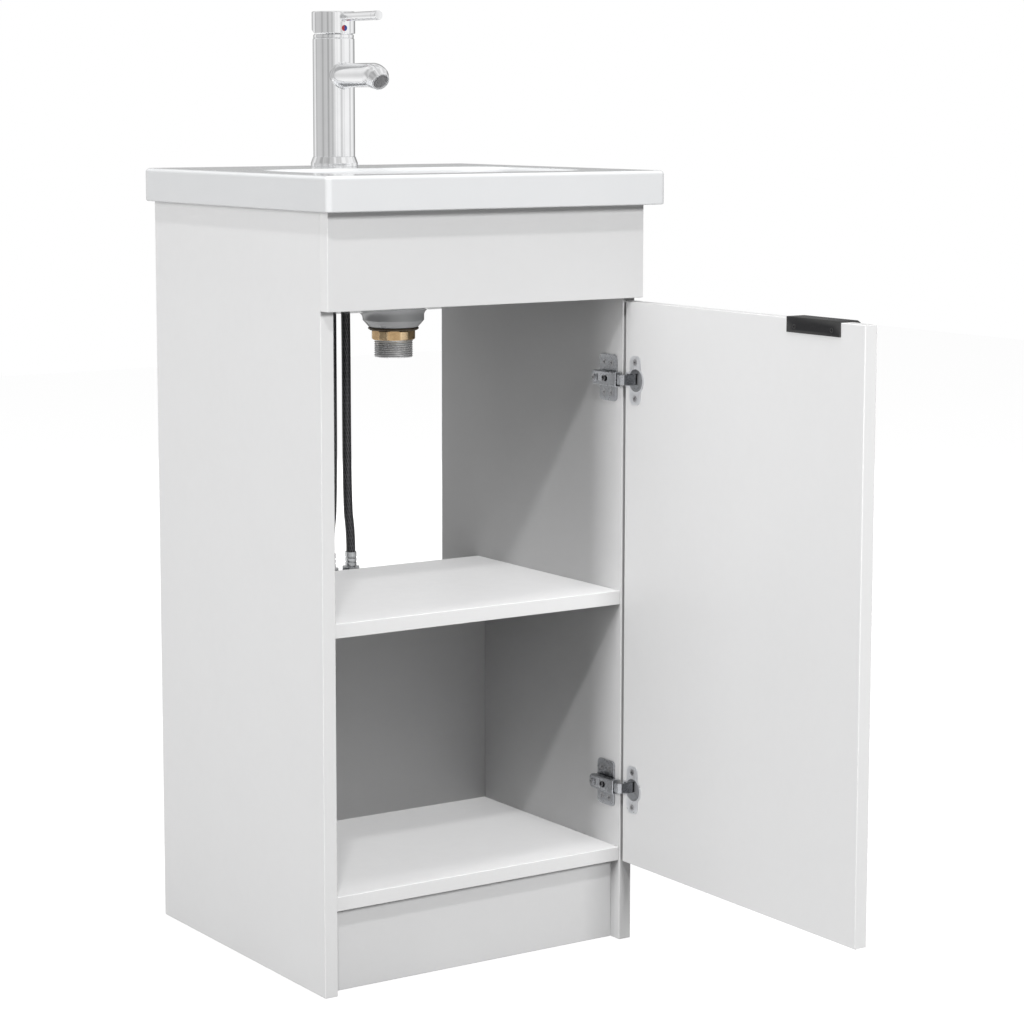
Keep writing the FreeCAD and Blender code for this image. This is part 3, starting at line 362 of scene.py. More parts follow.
def place(mesh, name, body, slot, surfaces, replaced=(), weighted=True):
    """Links a mesh as a piece riding on a body, with weighted normals and its finish."""
    for surface in surfaces:
        mesh.materials.append(SURFACES[surface])
    thing = bpy.data.objects.new(name, mesh)
    scene.collection.objects.link(thing)
    if weighted:
        modifier = thing.modifiers.new("normals", "WEIGHTED_NORMAL")
        modifier.keep_sharp = True
        shown = thing.evaluated_get(bpy.context.evaluated_depsgraph_get())
        baked = bpy.data.meshes.new_from_object(shown)
        thing.modifiers.clear()
        thing.data = baked
        baked.name = name
    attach(thing, body)
    if replaced:
        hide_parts(*replaced)
    return thing


def node_body(node):
    return frame["nodes"][node]["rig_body"]


def node_slot(node):
    return frame["nodes"][node].data.materials[0].name.split(".")[0]


CREASE = 28                 # a CAD edge that turns by more degrees than this is bevelled


def softened(node, width, shortest=0.3, segments=2, surfaces=None, name=None, paint=None,
             sharp=30):
    """A copy of a CAD node with its sharp edges bevelled, standing for the node."""
    form = bmesh.new()
    form.from_mesh(frame["nodes"][node].data)
    bmesh.ops.remove_doubles(form, verts=form.verts, dist=0.01 * MM)
    bmesh.ops.dissolve_limit(form, angle_limit=math.radians(0.5), verts=form.verts,
                             edges=form.edges)
    chosen = [edge for edge in form.edges
              if len(edge.link_faces) == 2 and edge.calc_length() > shortest * MM
              and math.degrees(edge.calc_face_angle(0)) > CREASE]
    bmesh.ops.bevel(form, geom=chosen, offset=width * MM, offset_type="OFFSET", segments=segments,
                    profile=0.5, affect="EDGES", clamp_overlap=False)
    if paint:
        for face in form.faces:
            face.material_index = paint(face)
    name = name or f"{node}_piece"
    mesh = finish_mesh(form, name, sharp)
    slot = node_slot(node)
    return place(mesh, name, node_body(node), slot, surfaces or [slot], [node])


def rounded_profile(points, steps=5):
    """A profile of (radius, height, fillet) corners, with each filleted corner as a short arc."""
    out = []
    for i, (r, z, fillet) in enumerate(points):
        here = Vector((r, z))
        if not fillet:
            out.append(here)
            continue
        before = Vector(points[i - 1][:2])
        after = Vector(points[(i + 1) % len(points)][:2])
        into, away = (before - here).normalized(), (after - here).normalized()
        angle = into.angle(away)
        reach = fillet / math.tan(angle / 2)
        centre = here + (into + away).normalized() * (fillet / math.sin(angle / 2))
        start, end = here + into * reach - centre, here + away * reach - centre
        sweep = math.pi - angle
        for step in range(steps + 1):
            share = step / steps
            a = math.sin((1 - share) * sweep) / math.sin(sweep)
            b = math.sin(share * sweep) / math.sin(sweep)
            out.append(centre + start * a + end * b)
    return out


def spin(form, profile, turn, segments=96, closed=True, radius=None):
    """Spins a profile of (radius, height) points; radius(r, z, angle) may change each point."""
    rings = []
    for r, z in profile:
        if r < 1e-6:
            rings.append([form.verts.new(turn @ Vector((0, 0, z)))] * segments)
            continue
        ring = []
        for i in range(segments):
            angle = 2 * math.pi * i / segments
            actual = radius(r, z, angle) if radius else r
            ring.append(form.verts.new(turn @ Vector((actual * math.cos(angle),
                                                      actual * math.sin(angle), z))))
        rings.append(ring)
    pairs = list(zip(rings, rings[1:]))
    if closed:
        pairs.append((rings[-1], rings[0]))
    skin(form, pairs)
    return rings


def skin(form, pairs):
    """Faces between pairs of rings with equally many points; a repeated point closes a pole."""
    for low, high in pairs:
        count = len(low)
        for i in range(count):
            corners = [low[i], low[(i + 1) % count], high[(i + 1) % count], high[i]]
            loop = [v for k, v in enumerate(corners) if v is not corners[k - 1]]
            if len(set(loop)) == len(loop) and len(loop) > 2:
                form.faces.new(loop)


def at(x, y, z, axis="Z", tilt=0.0):
    """A turn and place in millimetres, scaled to metres. The axis points along local Z."""
    turns = {"Z": Matrix(), "-Y": Matrix.Rotation(math.radians(90 + tilt), 4, "X"),
             "X": Matrix.Rotation(math.radians(90), 4, "Y")}
    return Matrix.Scale(MM, 4) @ Matrix.Translation((x, y, z)) @ turns[axis]


def lathe(name, node, corners, turn, segments=96, closed=True, sharp=35, surface=None,
          radius=None):
    """A turned piece that replaces a CAD node."""
    form = bmesh.new()
    spin(form, rounded_profile(corners), turn, segments, closed, radius)
    mesh = finish_mesh(form, name, sharp)
    slot = node_slot(node)
    return place(mesh, name, node_body(node), slot, [surface or slot], [node])


# ---------------------------------------------------------------- supply hoses

# Each hose's route below its upper ferrule, for the hose on the +X side; the other is mirrored.
# (x, y) from the tap's axis and z from the floor, in millimetres.
HOSE_ROUTE = [
    (7.0, -4.0, 800.0), (7.0, -4.0, 768.0), (9.1, -7.6, 704.0), (9.1, -7.6, 458.0),
    (13.6, -7.6, 426.0), (13.6, -7.6, 404.0),
]
HOSE_RADIUS = 5.1
FERRULE_LENGTH = 22


def spline_points(points):
    """Points along one smooth NURBS spline with the given control points."""
    curve = bpy.data.curves.new("route", "CURVE")
    curve.dimensions = "3D"
    curve.resolution_u = 24
    spline = curve.splines.new("NURBS")
    spline.points.add(len(points) - 1)
    for control, point in zip(spline.points, points):
        control.co = (*point, 1.0)
    spline.order_u = 3
    spline.use_endpoint_u = True
    holder = bpy.data.objects.new("route", curve)
    scene.collection.objects.link(holder)
    shown = holder.evaluated_get(bpy.context.evaluated_depsgraph_get())
    mesh = bpy.data.meshes.new_from_object(shown)
    found = [vertex.co.copy() for vertex in mesh.vertices]
    bpy.data.objects.remove(holder)
    bpy.data.meshes.remove(mesh)
    return found


def hose_tube(name, path, radius, sides=48):
    """A tube along a path, with UV u round it and v along it in braid repeats."""
    form = bmesh.new()
    uv = form.loops.layers.uv.new("UVMap")
    rings, lengths, side, length = [], [], Vector((1, 0, 0)), 0.0
    for i, point in enumerate(path):
        ahead = (path[min(i + 1, len(path) - 1)] - path[max(i - 1, 0)]).normalized()
        side = (side - ahead * side.dot(ahead)).normalized()
        up = ahead.cross(side)
        length += (point - path[i - 1]).length if i else 0.0
        lengths.append(length / (BRAID_PITCH * MM))
        rings.append([form.verts.new(point + (side * math.cos(a) + up * math.sin(a)) * radius)
                      for a in (2 * math.pi * k / sides for k in range(sides))])
    for j, (low, high) in enumerate(zip(rings, rings[1:])):
        for k in range(sides):
            face = form.faces.new((low[k], low[(k + 1) % sides], high[(k + 1) % sides], high[k]))
            corners = ((k, j), (k + 1, j), (k + 1, j + 1), (k, j + 1))
            for loop, (around, along) in zip(face.loops, corners):
                loop[uv].uv = (around / sides, lengths[along])
    for ring in (rings[0], rings[-1]):
        form.faces.new(ring)
    return finish_mesh(form, name, 60)


def make_hoses():
    for name, sign in (("hot_hose", -1), ("cold_hose", 1)):
        route = [Vector((sign * x, TAP.y + y, z)) * MM for x, y, z in HOSE_ROUTE]
        path = spline_points(route)
        length = sum((b - a).length for a, b in zip(path, path[1:]))
        tube = place(hose_tube(f"{name}_tube", path, HOSE_RADIUS * MM), f"{name}_tube", "cabinet",
                     "hose_braid", ["hose_braid"], [name], weighted=False)
        x, y, z = HOSE_ROUTE[-1]
        foot = at(sign * x, TAP.y + y, z - FERRULE_LENGTH)
        ferrule = lathe(f"{name}_crimp", f"{name}_ferrule", [
            (0, 0, 0), (5.0, 0, 0), (5.0, 6, 0), (6.4, 6, 0.5), (6.4, 9.4, 0), (5.9, 9.9, 0.3),
            (5.9, 11.1, 0.3), (6.4, 11.6, 0), (6.4, 14.4, 0), (5.9, 14.9, 0.3), (5.9, 16.1, 0.3),
            (6.4, 16.6, 0), (6.4, 22, 0.5), (0, 22, 0),
        ], foot, closed=False)
        nut = softened(f"{name}_nut", 0.5)


make_hoses()


# ---------------------------------------------------------------- boards

def make_boards():
    """Faced boards with a 0.6 mm softened arris; their narrow faces carry the edge band."""
    for node in ("left_side_panel", "right_side_panel", "front_fascia", "middle_shelf",
                 "bottom_shelf", "plinth_board", "lower_back_panel", "rear_top_rail", "door_panel"):
        low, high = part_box(node)
        sizes = [b - a for a, b in zip(low, high)]
        thin = sizes.index(min(sizes))

        def paint(face, thin=thin):
            return 0 if abs(face.normal[thin]) > 0.75 else 1

        softened(node, 0.6, shortest=6, segments=3, surfaces=["white_board", "edge_band"],
                 name=f"{node}_board", paint=paint, sharp=40)


# ---------------------------------------------------------------- basin

CORNER_STEPS, SIDE_STEPS = 10, 12
SIDE_SHARE = 28.0           # half of the angle that a side takes of a round ring, in degrees
BOWL = (-150, 150, -165, 40)        # the bowl's outline at its rim: left, right, front, rear
BOWL_TAPERS = {"side": 22.0, "front": 22.0, "rear": 10.0}
BOWL_CORNER, BOWL_FOOT, BOWL_LIP = 46, 24, 5    # fillets: upright corners, foot and rim
BOWL_FLOOR = WASTE_SEAT + 3.5       # the bowl's floor at the waste
BOWL_SLOPE = 6.0            # the floor's fall from front to rear, in degrees
TUB_WALL, TUB_FLOOR = 10, 11.5      # ceramic thickness of the bowl's wall and floor
TUB_CORNER, TUB_FOOT = 56, 34       # fillets of the tub's outside
SLAB = (-205, 205, -216, 179)
RECESS = (-172, 172, -179, 165)     # the hollow under the slab
WASTE_HOLE, BOSS_RADIUS = 22.2, 33.2
SINK_RADIUS = 33            # the shallow sink that the waste flange lies in
NECK_FILLET = 6.0           # between the tub's underside and the boss


def ring_points(x0, x1, y0, y1, corner):
    """A rounded rectangle as equally many points per side and per corner, from the +X side on."""
    corner = min(corner, (x1 - x0) / 2, (y1 - y0) / 2)
    centres = ((x1 - corner, y1 - corner), (x0 + corner, y1 - corner),
               (x0 + corner, y0 + corner), (x1 - corner, y0 + corner))
    found = []
    for quarter, (cx, cy) in enumerate(centres):
        for step in range(CORNER_STEPS + 1):
            angle = math.radians(90 * (quarter + step / CORNER_STEPS))
            found.append(Vector((cx + corner * math.cos(angle), cy + corner * math.sin(angle))))
        start = found[-1]
        nx, ny = centres[(quarter + 1) % 4]
        angle = math.radians(90 * (quarter + 1))
        end = Vector((nx + corner * math.cos(angle), ny + corner * math.sin(angle)))
        for step in range(1, SIDE_STEPS):
            found.append(start.lerp(end, step / SIDE_STEPS))
    return found


def round_points(centre, radius):
    """A circle with its points shared out as ring_points does."""
    found = []
    for quarter in range(4):
        middle = 45 + 90 * quarter
        half = 45 - SIDE_SHARE
        for step in range(CORNER_STEPS + 1):
            found.append(middle - half + 2 * half * step / CORNER_STEPS)
        for step in range(1, SIDE_STEPS):
            found.append(middle + half + 2 * SIDE_SHARE * step / SIDE_STEPS)
    return [Vector((centre.x + radius * math.cos(math.radians(a)),
                    centre.y + radius * math.sin(math.radians(a)))) for a in found]


def grown(outline, by):
    """An outline (left, right, front, rear) with every side moved out."""
    left, right, front, rear = outline
    return left - by, right + by, front - by, rear + by


def arc(steps, span=90):
    """Angles from 0 to span degrees, in radians."""
    return [math.radians(span * step / steps) for step in range(steps + 1)]


def tub_rings(wall, floor_drop, top, corner, fillet, start_depth, steps=8):
    """Rings of points down the tub's wall and round its foot, and its floor's height.

    wall grows the tub outwards and floor_drop lowers its floor, for its outside."""
    slope = math.tan(math.radians(BOWL_SLOPE))

    def floor(point):
        return BOWL_FLOOR - floor_drop - (point.y - WASTE.y) * slope

    depth = top - (BOWL_FLOOR - floor_drop)
    left, right, front, rear = grown(BOWL, wall)

    def outline(insets, radius):
        return ring_points(left + insets["side"], right - insets["side"],
                           front + insets["front"], rear - insets["rear"], radius)

    rings = []
    for step in range(steps):
        share = step / steps
        insets = {side: taper * (start_depth + share * (depth - fillet - start_depth)) / depth
                  for side, taper in BOWL_TAPERS.items()}
        points = outline(insets, corner)
        rings.append([(p.x, p.y, top - start_depth
                       - share * (top - start_depth - floor(p) - fillet)) for p in points])
    for turn in arc(8):
        insets = {}
        for side, taper in BOWL_TAPERS.items():
            lean = math.atan(taper / depth)
            at_centre = taper * (depth - fillet) / depth + fillet / math.cos(lean)
            insets[side] = at_centre - fillet * math.cos(max(turn, lean))
        points = outline(insets, max(corner - fillet * (1 - math.cos(turn)), 8))
        rings.append([(p.x, p.y, floor(p) + fillet * (1 - math.sin(turn))) for p in points])
    return rings, floor


def flat(points, z):
    return [(p.x, p.y, z) for p in points]


def waste_hole_rings():
    """Up the waste hole to the seat of the waste flange and the wall of its sink."""
    hole = round_points(WASTE, WASTE_HOLE)
    return [flat(hole, BOSS_BOTTOM), flat(hole, WASTE_SEAT - 0.6),
            flat(round_points(WASTE, WASTE_HOLE + 0.6), WASTE_SEAT),
            flat(round_points(WASTE, SINK_RADIUS - 0.6), WASTE_SEAT),
            flat(round_points(WASTE, SINK_RADIUS), WASTE_SEAT + 0.6)]


def bowl_rings():
    """From the sink's edge over the bowl's floor and up its wall to the deck."""
    inner, floor = tub_rings(0, 0, DECK - BOWL_LIP, BOWL_CORNER, BOWL_FOOT, 0)
    rings = []
    lip = [round_points(WASTE, SINK_RADIUS + r) for r in (0, 0.4, 1.5)]
    for points, drop in zip(lip, (1.2, 0.4, 0)):
        rings.append([(p.x, p.y, floor(p) - drop) for p in points])
    foot = [Vector(p[:2]) for p in inner[-1]]
    for share in (0.12, 0.28, 0.46, 0.64, 0.82):
        blend = [a.lerp(b, share) for a, b in zip(lip[-1], foot)]
        rings.append([(p.x, p.y, floor(p)) for p in blend])
    rings += reversed(inner)
    for turn in arc(6)[1:]:
        grow = BOWL_LIP * (1 - math.cos(turn))
        rings.append(flat(ring_points(*grown(BOWL, grow), BOWL_CORNER + grow),
                          DECK - BOWL_LIP + BOWL_LIP * math.sin(turn)))
    return rings


def slab_rings(rim):
    """From the bowl's rim over the deck, down the slab's edge and up into the recess under it."""
    def slab(inset, corner):
        return ring_points(*grown(SLAB, -inset), corner)

    def recess(grow, corner=18):
        return ring_points(*grown(RECESS, grow), corner + grow)

    edge = slab(5.5, 3)
    rings = [flat([a.lerp(b, share) for a, b in zip(rim, edge)], DECK)
             for share in (0.03, 0.5, 0.97)]
    for turn in arc(6):
        rings.append(flat(slab(4 * (1 - math.sin(turn)), 4 + 2 * math.sin(turn)),
                          DECK - 4 * (1 - math.cos(turn))))
    for turn in arc(4):
        rings.append(flat(slab(1.5 * (1 - math.cos(turn)), 6),
                          SLAB_UNDER + 1.5 - 1.5 * math.sin(turn)))
    for turn in arc(4):
        rings.append(flat(recess(2 * (1 - math.sin(turn))),
                          SLAB_UNDER + 2 * (1 - math.cos(turn))))
    for turn in arc(4):
        rings.append(flat(recess(-3 * (1 - math.cos(turn))),
                          DECK_UNDER - 3 + 3 * math.sin(turn)))
    return rings


def underside_rings():
    """Down the tub's outside, across its underside to the boss, and down the boss."""
    outer, under = tub_rings(TUB_WALL, TUB_FLOOR, DECK - 7, TUB_CORNER, TUB_FOOT, 11)
    rings = []
    for turn in arc(4)[:-1]:
        flare = 1 - math.sin(turn)
        grow = 0.8 * flare
        rings.append([(x * (1 + grow / 160), y + (grow if y > 0 else -grow), z + 4 * flare)
                      for x, y, z in outer[0]])
    rings += outer
    neck = round_points(WASTE, BOSS_RADIUS + NECK_FILLET)
    shoe = [Vector(p[:2]) for p in outer[-1]]
    for share in (0.2, 0.45, 0.7, 0.9):
        blend = [a.lerp(b, share) for a, b in zip(shoe, neck)]
        rings.append([(p.x, p.y, under(p)) for p in blend])
    for turn in arc(5):
        points = round_points(WASTE, BOSS_RADIUS + NECK_FILLET * (1 - math.sin(turn)))
        rings.append([(p.x, p.y, under(p) - NECK_FILLET * (1 - math.cos(turn)))
                      for p in points])
    for turn in arc(3, 40):
        rings.append(flat(round_points(WASTE, BOSS_RADIUS - 2 * (1 - math.cos(turn))),
                          BOSS_BOTTOM + 8.5 - 2 * math.sin(turn)))
    for radius, rise in ((27.2, 0.9), (26.2, 0.2), (25.4, 0)):
        rings.append(flat(round_points(WASTE, radius), BOSS_BOTTOM + rise))
    return rings


def basin_rings():
    """The basin's whole skin as rings of points, from the waste hole round to the boss."""
    bowl = bowl_rings()
    rim = [Vector(p[:2]) for p in bowl[-1]]
    return waste_hole_rings() + bowl + slab_rings(rim) + underside_rings()


def make_basin():
    form = bmesh.new()
    rings = [[form.verts.new(Vector(p) * MM) for p in ring] for ring in basin_rings()]
    skin(form, list(zip(rings, rings[1:])) + [(rings[-1], rings[0])])
    place(finish_mesh(form, "basin_glazed", 50), "basin_glazed", "cabinet", "white_ceramic",
          ["white_ceramic"], ["basin"])


# ---------------------------------------------------------------- waste

THREAD_PITCH = 2.309
THREAD_DEPTH = 1.4
THREAD_LENGTH = 18.7
TAIL_RADIUS, TAIL_CORE, TAIL_BORE = 20.95, 20.6, 17.5
TAIL_BOTTOM = BOSS_BOTTOM - 32
NUT_HALF_FLATS = 22.1
SEAL_HEIGHT, NUT_HEIGHT = 3.0, 10.3


def threaded(low, high):
    """A radius function that cuts a rounded thread between two heights."""
    def radius(r, z, angle):
        if r < TAIL_RADIUS - 0.05 or not low < z < high:
            return r
        fade = min(1.0, (z - low) / 1.6, (high - z) / 1.6)
        wave = 0.5 + 0.5 * math.cos(2 * math.pi * z / THREAD_PITCH - angle)
        return r - THREAD_DEPTH * fade * wave
    return radius


def hexagonal(r, z, angle):
    """A radius function that cuts a nut's six flats."""
    if r < 21:
        return r
    corner = (angle + math.pi / 6) % (math.pi / 3) - math.pi / 6
    return min(r, NUT_HALF_FLATS / math.cos(corner))


def make_waste():
    step = THREAD_PITCH / 8
    rows = int((THREAD_LENGTH - 1) / step)
    thread = [(TAIL_RADIUS, 0.9 + i * step, 0) for i in range(rows)]
    lathe("waste_tail", "waste_body", [
        (TAIL_BORE, 0.7, 0), (18.0, 0, 0), (20.1, 0, 0), *thread,
        (TAIL_RADIUS, THREAD_LENGTH - 0.1, 0), (TAIL_CORE, THREAD_LENGTH, 0),
        (TAIL_CORE, 57.3, 0), (31.0, 57.3, 0), (31.5, 57.7, 0), (31.5, 58.3, 0.3),
        (28.5, 59.8, 0.8), (TAIL_BORE, 59.8, 0.3), (TAIL_BORE, 40, 0),
    ], at(0, WASTE.y, TAIL_BOTTOM), 120, radius=threaded(0.28, THREAD_LENGTH - 0.3), sharp=45,
        surface="satin_metal")
    lathe("waste_plug_cap", "waste_plug", [
        (0, 661.8, 0), (5, 661.8, 0.8), (5, 693.8, 0), (28.4, 693.8, 0), (29, 694.4, 0.4),
        (29, 695.8, 0.8), (24, 698.3, 2.5), (12, 698.75, 0), (0, 698.8, 0),
    ], at(0, WASTE.y, 0), closed=False, sharp=50)
    lathe("waste_gasket", "waste_seal", [
        (20.6, 0, 0), (25.6, 0, 0.4), (27.4, 1.3, 0.6), (27.2, 3.0, 0.6), (20.6, 3.0, 0),
    ], at(0, WASTE.y, BOSS_BOTTOM - SEAL_HEIGHT), surface="brown_rubber")
    lathe("waste_hex_nut", "waste_locknut", [
        (20.6, 0.6, 0), (21.2, 0, 0), (22.0, 0, 0), (22.4, 0.25, 0), (22.9, 0.6, 0),
        (23.4, 1.1, 0), (23.4, 9.2, 0), (22.9, 9.7, 0), (22.4, 10.05, 0), (22.0, 10.3, 0),
        (21.2, 10.3, 0), (20.6, 9.7, 0),
    ], at(0, WASTE.y, BOSS_BOTTOM - SEAL_HEIGHT - NUT_HEIGHT), 180, radius=hexagonal, sharp=24)


# ---------------------------------------------------------------- mixer tap

SPOUT_RADIUS = 13.0
SPOUT_FLARE = 2.5           # where the spout meets the column
SPOUT_REACH = 88            # from the column's axis to the middle of the bend
SPOUT_BEND = 16.0           # radius of the bend
DROOP = 33.0                # how far the mouth points down, in degrees
MOUTH_SEAT = 7.8            # from the middle of the bend to the aerator's inner end
COLUMN_RADIUS, COLUMN_HEIGHT = 23.0, 140.5
LEVER_START, LEVER_REACH, LEVER_HEIGHT = 15.85, 96, 17.9
CAP_SLOPE = 23.0            # slope of the cap's lower edge at the back, in degrees


def spout_rings():
    """Rings of (x, y, z) from the column's face along the spout, round its bend to its mouth."""
    count = 64
    angles = [2 * math.pi * i / count for i in range(count)]
    rings = []

    def on_column(radius, stand):
        ring = []
        for a in angles:
            x, rise = radius * math.cos(a), radius * math.sin(a)
            ring.append(Vector((x, TAP.y - math.sqrt(COLUMN_RADIUS ** 2 - x * x) - stand,
                                SPOUT_Z + rise)))
        return ring

    rings.append(on_column(SPOUT_RADIUS + SPOUT_FLARE, -0.6))
    for turn in arc(6):
        rings.append(on_column(SPOUT_RADIUS + SPOUT_FLARE * (1 - math.sin(turn)),
                               SPOUT_FLARE * (1 - math.cos(turn))))

    def across(centre, tilt, radius):
        """A ring round a point of the spout's axis, facing down by tilt degrees."""
        up = Vector((0, -math.sin(math.radians(tilt)), math.cos(math.radians(tilt))))
        return [centre + Vector((1, 0, 0)) * radius * math.cos(a) + up * radius * math.sin(a)
                for a in angles]

    elbow = Vector((0, TAP.y - SPOUT_REACH, SPOUT_Z))
    reach = SPOUT_BEND * math.tan(math.radians(DROOP / 2))
    seam = elbow.y + reach + 0.6
    for y, radius in ((TAP.y - 32, SPOUT_RADIUS), (TAP.y - 60, SPOUT_RADIUS),
                      (seam + 1.1, SPOUT_RADIUS), (seam + 0.8, 12.5), (seam + 0.3, 12.5),
                      (seam, SPOUT_RADIUS)):
        rings.append(across(Vector((0, y, SPOUT_Z)), 0, radius))
    pivot = elbow + Vector((0, reach, -SPOUT_BEND))
    for step in range(9):
        tilt = DROOP * step / 8
        outward = Vector((0, -math.sin(math.radians(tilt)), math.cos(math.radians(tilt))))
        rings.append(across(pivot + outward * SPOUT_BEND, tilt, SPOUT_RADIUS))
    ahead = Vector((0, -math.cos(math.radians(DROOP)), -math.sin(math.radians(DROOP))))
    for distance, radius in ((6.4, SPOUT_RADIUS), (7.0, 12.85), (7.6, 12.5), (12.6, 10.6),
                             (13.5, 10.2), (13.8, 9.8), (13.8, 9.5), (13.3, 9.42),
                             (MOUTH_SEAT, 9.42)):
        rings.append(across(elbow + ahead * distance, DROOP, radius))
    return rings


def make_tap():
    lathe("tap_foot_ring", "tap_base_ring", [
        (20, 0, 0), (26, 0, 0.4), (26, 4, 1.2), (23.4, 11, 0.5), (20, 11, 0),
    ], at(0, TAP.y, DECK))
    form = bmesh.new()
    spin(form, rounded_profile([
        (0, -13, 0), (15.5, -13, 0.8), (15.5, 0, 0), (20, 0, 0), (20, 11, 0),
        (COLUMN_RADIUS, 11, 0.3), (COLUMN_RADIUS, COLUMN_HEIGHT, 1.6), (19.5, COLUMN_HEIGHT, 0),
        (0, COLUMN_HEIGHT, 0),
    ]), at(0, TAP.y, DECK), 128, closed=False)
    rings = [[form.verts.new(p * MM) for p in ring] for ring in spout_rings()]
    skin(form, list(zip(rings, rings[1:])))
    form.faces.new(rings[0])
    form.faces.new(rings[-1])
    place(finish_mesh(form, "tap_casting", 35), "tap_casting", "cabinet", "chrome", ["chrome"],
          ["tap_body"])

    lathe("cartridge_collar", "cartridge_nut", [
        (9.3, 0, 0), (21.8, 0, 0), (22.3, 0.5, 0), (22.3, 3.3, 0), (21.4, 4.2, 0.3),
        (9.3, 4.2, 0),
    ], at(0, TAP.y, DECK + COLUMN_HEIGHT))
    mouth = at(0, TAP.y - SPOUT_REACH - MOUTH_SEAT * math.cos(math.radians(DROOP)),
               SPOUT_Z - MOUTH_SEAT * math.sin(math.radians(DROOP)), "-Y", DROOP)
    lathe("aerator_sleeve", "aerator_ring", [
        (8.8, 0, 0), (9.4, 0, 0), (9.4, 6.6, 0.2), (8.8, 6.6, 0.2),
    ], mouth)
    make_aerator_mesh(mouth)


def make_aerator_mesh(turn):
    """The aerator's grid: square cells sunk between thin bars, inside a round edge."""
    cell, reach, face_z = 1.25, 8.75, 5.3
    count = int(reach / cell)
    form = bmesh.new()
    points = {}
    cells = []
    for i in range(-count - 1, count + 1):
        for j in range(-count - 1, count + 1):
            corners = [(i, j), (i + 1, j), (i + 1, j + 1), (i, j + 1)]
            if all(math.hypot(a * cell, b * cell) < reach - 0.3 for a, b in corners):
                loop = []
                for key in corners:
                    if key not in points:
                        points[key] = form.verts.new((key[0] * cell, key[1] * cell, face_z))
                    loop.append(points[key])
                cells.append(form.faces.new(loop))
    bmesh.ops.inset_individual(form, faces=cells, thickness=0.2, depth=0.0)
    bmesh.ops.inset_individual(form, faces=cells, thickness=0.05, depth=-0.9)
    form.transform(turn)
    spin(form, [(0, 4.1), (8.0, 4.1), (8.0, 5.35), (8.8, 5.35), (8.8, 0), (0, 0)],
         turn, 64, closed=False)
    place(finish_mesh(form, "aerator_grid", 30), "aerator_grid", "cabinet", "mesh_grey",
          ["mesh_grey"], ["aerator_mesh"])


def make_lever():
    slope = math.tan(math.radians(CAP_SLOPE))
    form = bmesh.new()
    spin(form, rounded_profile([
        (0, 11.4, 0), (20.5, 11.4, 0.5), (20.5, 0.4, 0), (20.9, 0, 0), (23.2, 0, 0),
        (23.85, 0.7, 0.3), (23.85, 24.3, 1.5), (21.5, 24.3, 0), (0, 24.3, 0),
    ]), at(0, TAP.y, CAP_BASE), 128, closed=False)
    for vertex in form.verts:
        lowest = (CAP_BASE + (vertex.co.y / MM - TAP.y - 1) * slope) * MM
        if vertex.co.z < (CAP_BASE + 2) * MM:
            vertex.co.z += max(0.0, lowest - CAP_BASE * MM)
    place(finish_mesh(form, "lever_cap_cover", 35), "lever_cap_cover", "lever", "chrome",
          ["chrome"], ["lever_cap"])
    reach = LEVER_REACH - LEVER_START
    lathe("lever_handle", "lever_rod", [
        (0, 0, 0), (4.85, 0, 0), (4.85, 7.6, 0), (5.25, 7.9, 0.15), (5.25, 8.6, 0.15),
        (4.85, 9.2, 0), (4.85, reach - 9.4, 0.1), (4.5, reach - 9.1, 0), (4.5, reach - 8.5, 0),
        (5.0, reach - 8.2, 0.1), (5.0, reach, 1.2), (0, reach, 0),
    ], at(0, TAP.y - LEVER_START, CAP_BASE + LEVER_HEIGHT, "-Y"), 48, closed=False)
    softened("index_hot", 0.15)
    softened("index_cold", 0.15)
    softened("lever_rotor", 0.4, surfaces=["satin_metal"])
    softened("lever_pivot_pin", 0.3)


# ---------------------------------------------------------------- small parts with the CAD's shape

def make_small_parts():
    for node, width in (
        ("tap_cartridge", 0.5), ("fixing_stud", 0.4), ("fixing_washer", 0.4),
        ("fixing_seal", 0.4), ("fixing_nut", 0.5), ("wood_dowels", 0.6), ("cam_bolts", 0.3),
        ("cam_locks", 0.5), ("hinge_rivets", 0.12), ("hinge_pins", 0.15),
        ("hinge_plate_screws", 0.1), ("hinge_arm_screws", 0.12), ("hinge_cup_screws", 0.1),
        ("handle_screws", 0.08), ("hose_upper_ferrules", 0.6),
    ):
        softened(node, width, shortest=0.15)
    for level in ("upper", "lower"):
        softened(f"{level}_hinge_plate", 0.5)
        softened(f"{level}_hinge_arm", 0.25)
        softened(f"{level}_hinge_link", 0.3)
        softened(f"{level}_hinge_cup", 0.22, surfaces=["cup_steel"])
    softened("door_handle", 0.35, segments=3)


make_boards()
make_basin()
make_waste()
make_tap()
make_lever()
make_small_parts()

for node_object in frame["nodes"].values():
    materials = node_object.data.materials
    for index, old in enumerate(list(materials)):
        materials[index] = SURFACES[old.name.split(".")[0]]


# ---------------------------------------------------------------- floor, world and lights

def lit_for(tree, output, seen, thrown):
    """Feeds a strength socket: seen by the eye and by reflections, thrown on other surfaces."""
    path = tree.nodes.new("ShaderNodeLightPath")
    level = tree.nodes.new("ShaderNodeMapRange")
    level.inputs["To Min"].default_value = seen
    level.inputs["To Max"].default_value = thrown
    tree.links.new(path.outputs["Is Diffuse Ray"], level.inputs["Value"])
    tree.links.new(level.outputs["Result"], output)


def mapped(tree, output, start, end, low, high):
    """Maps start..end of an output softly to low..high."""
    node = tree.nodes.new("ShaderNodeMapRange")
    node.interpolation_type = "SMOOTHSTEP"
    set_range(node, start, end, low, high)
    tree.links.new(output, node.inputs["Value"])
    return node.outputs["Result"]


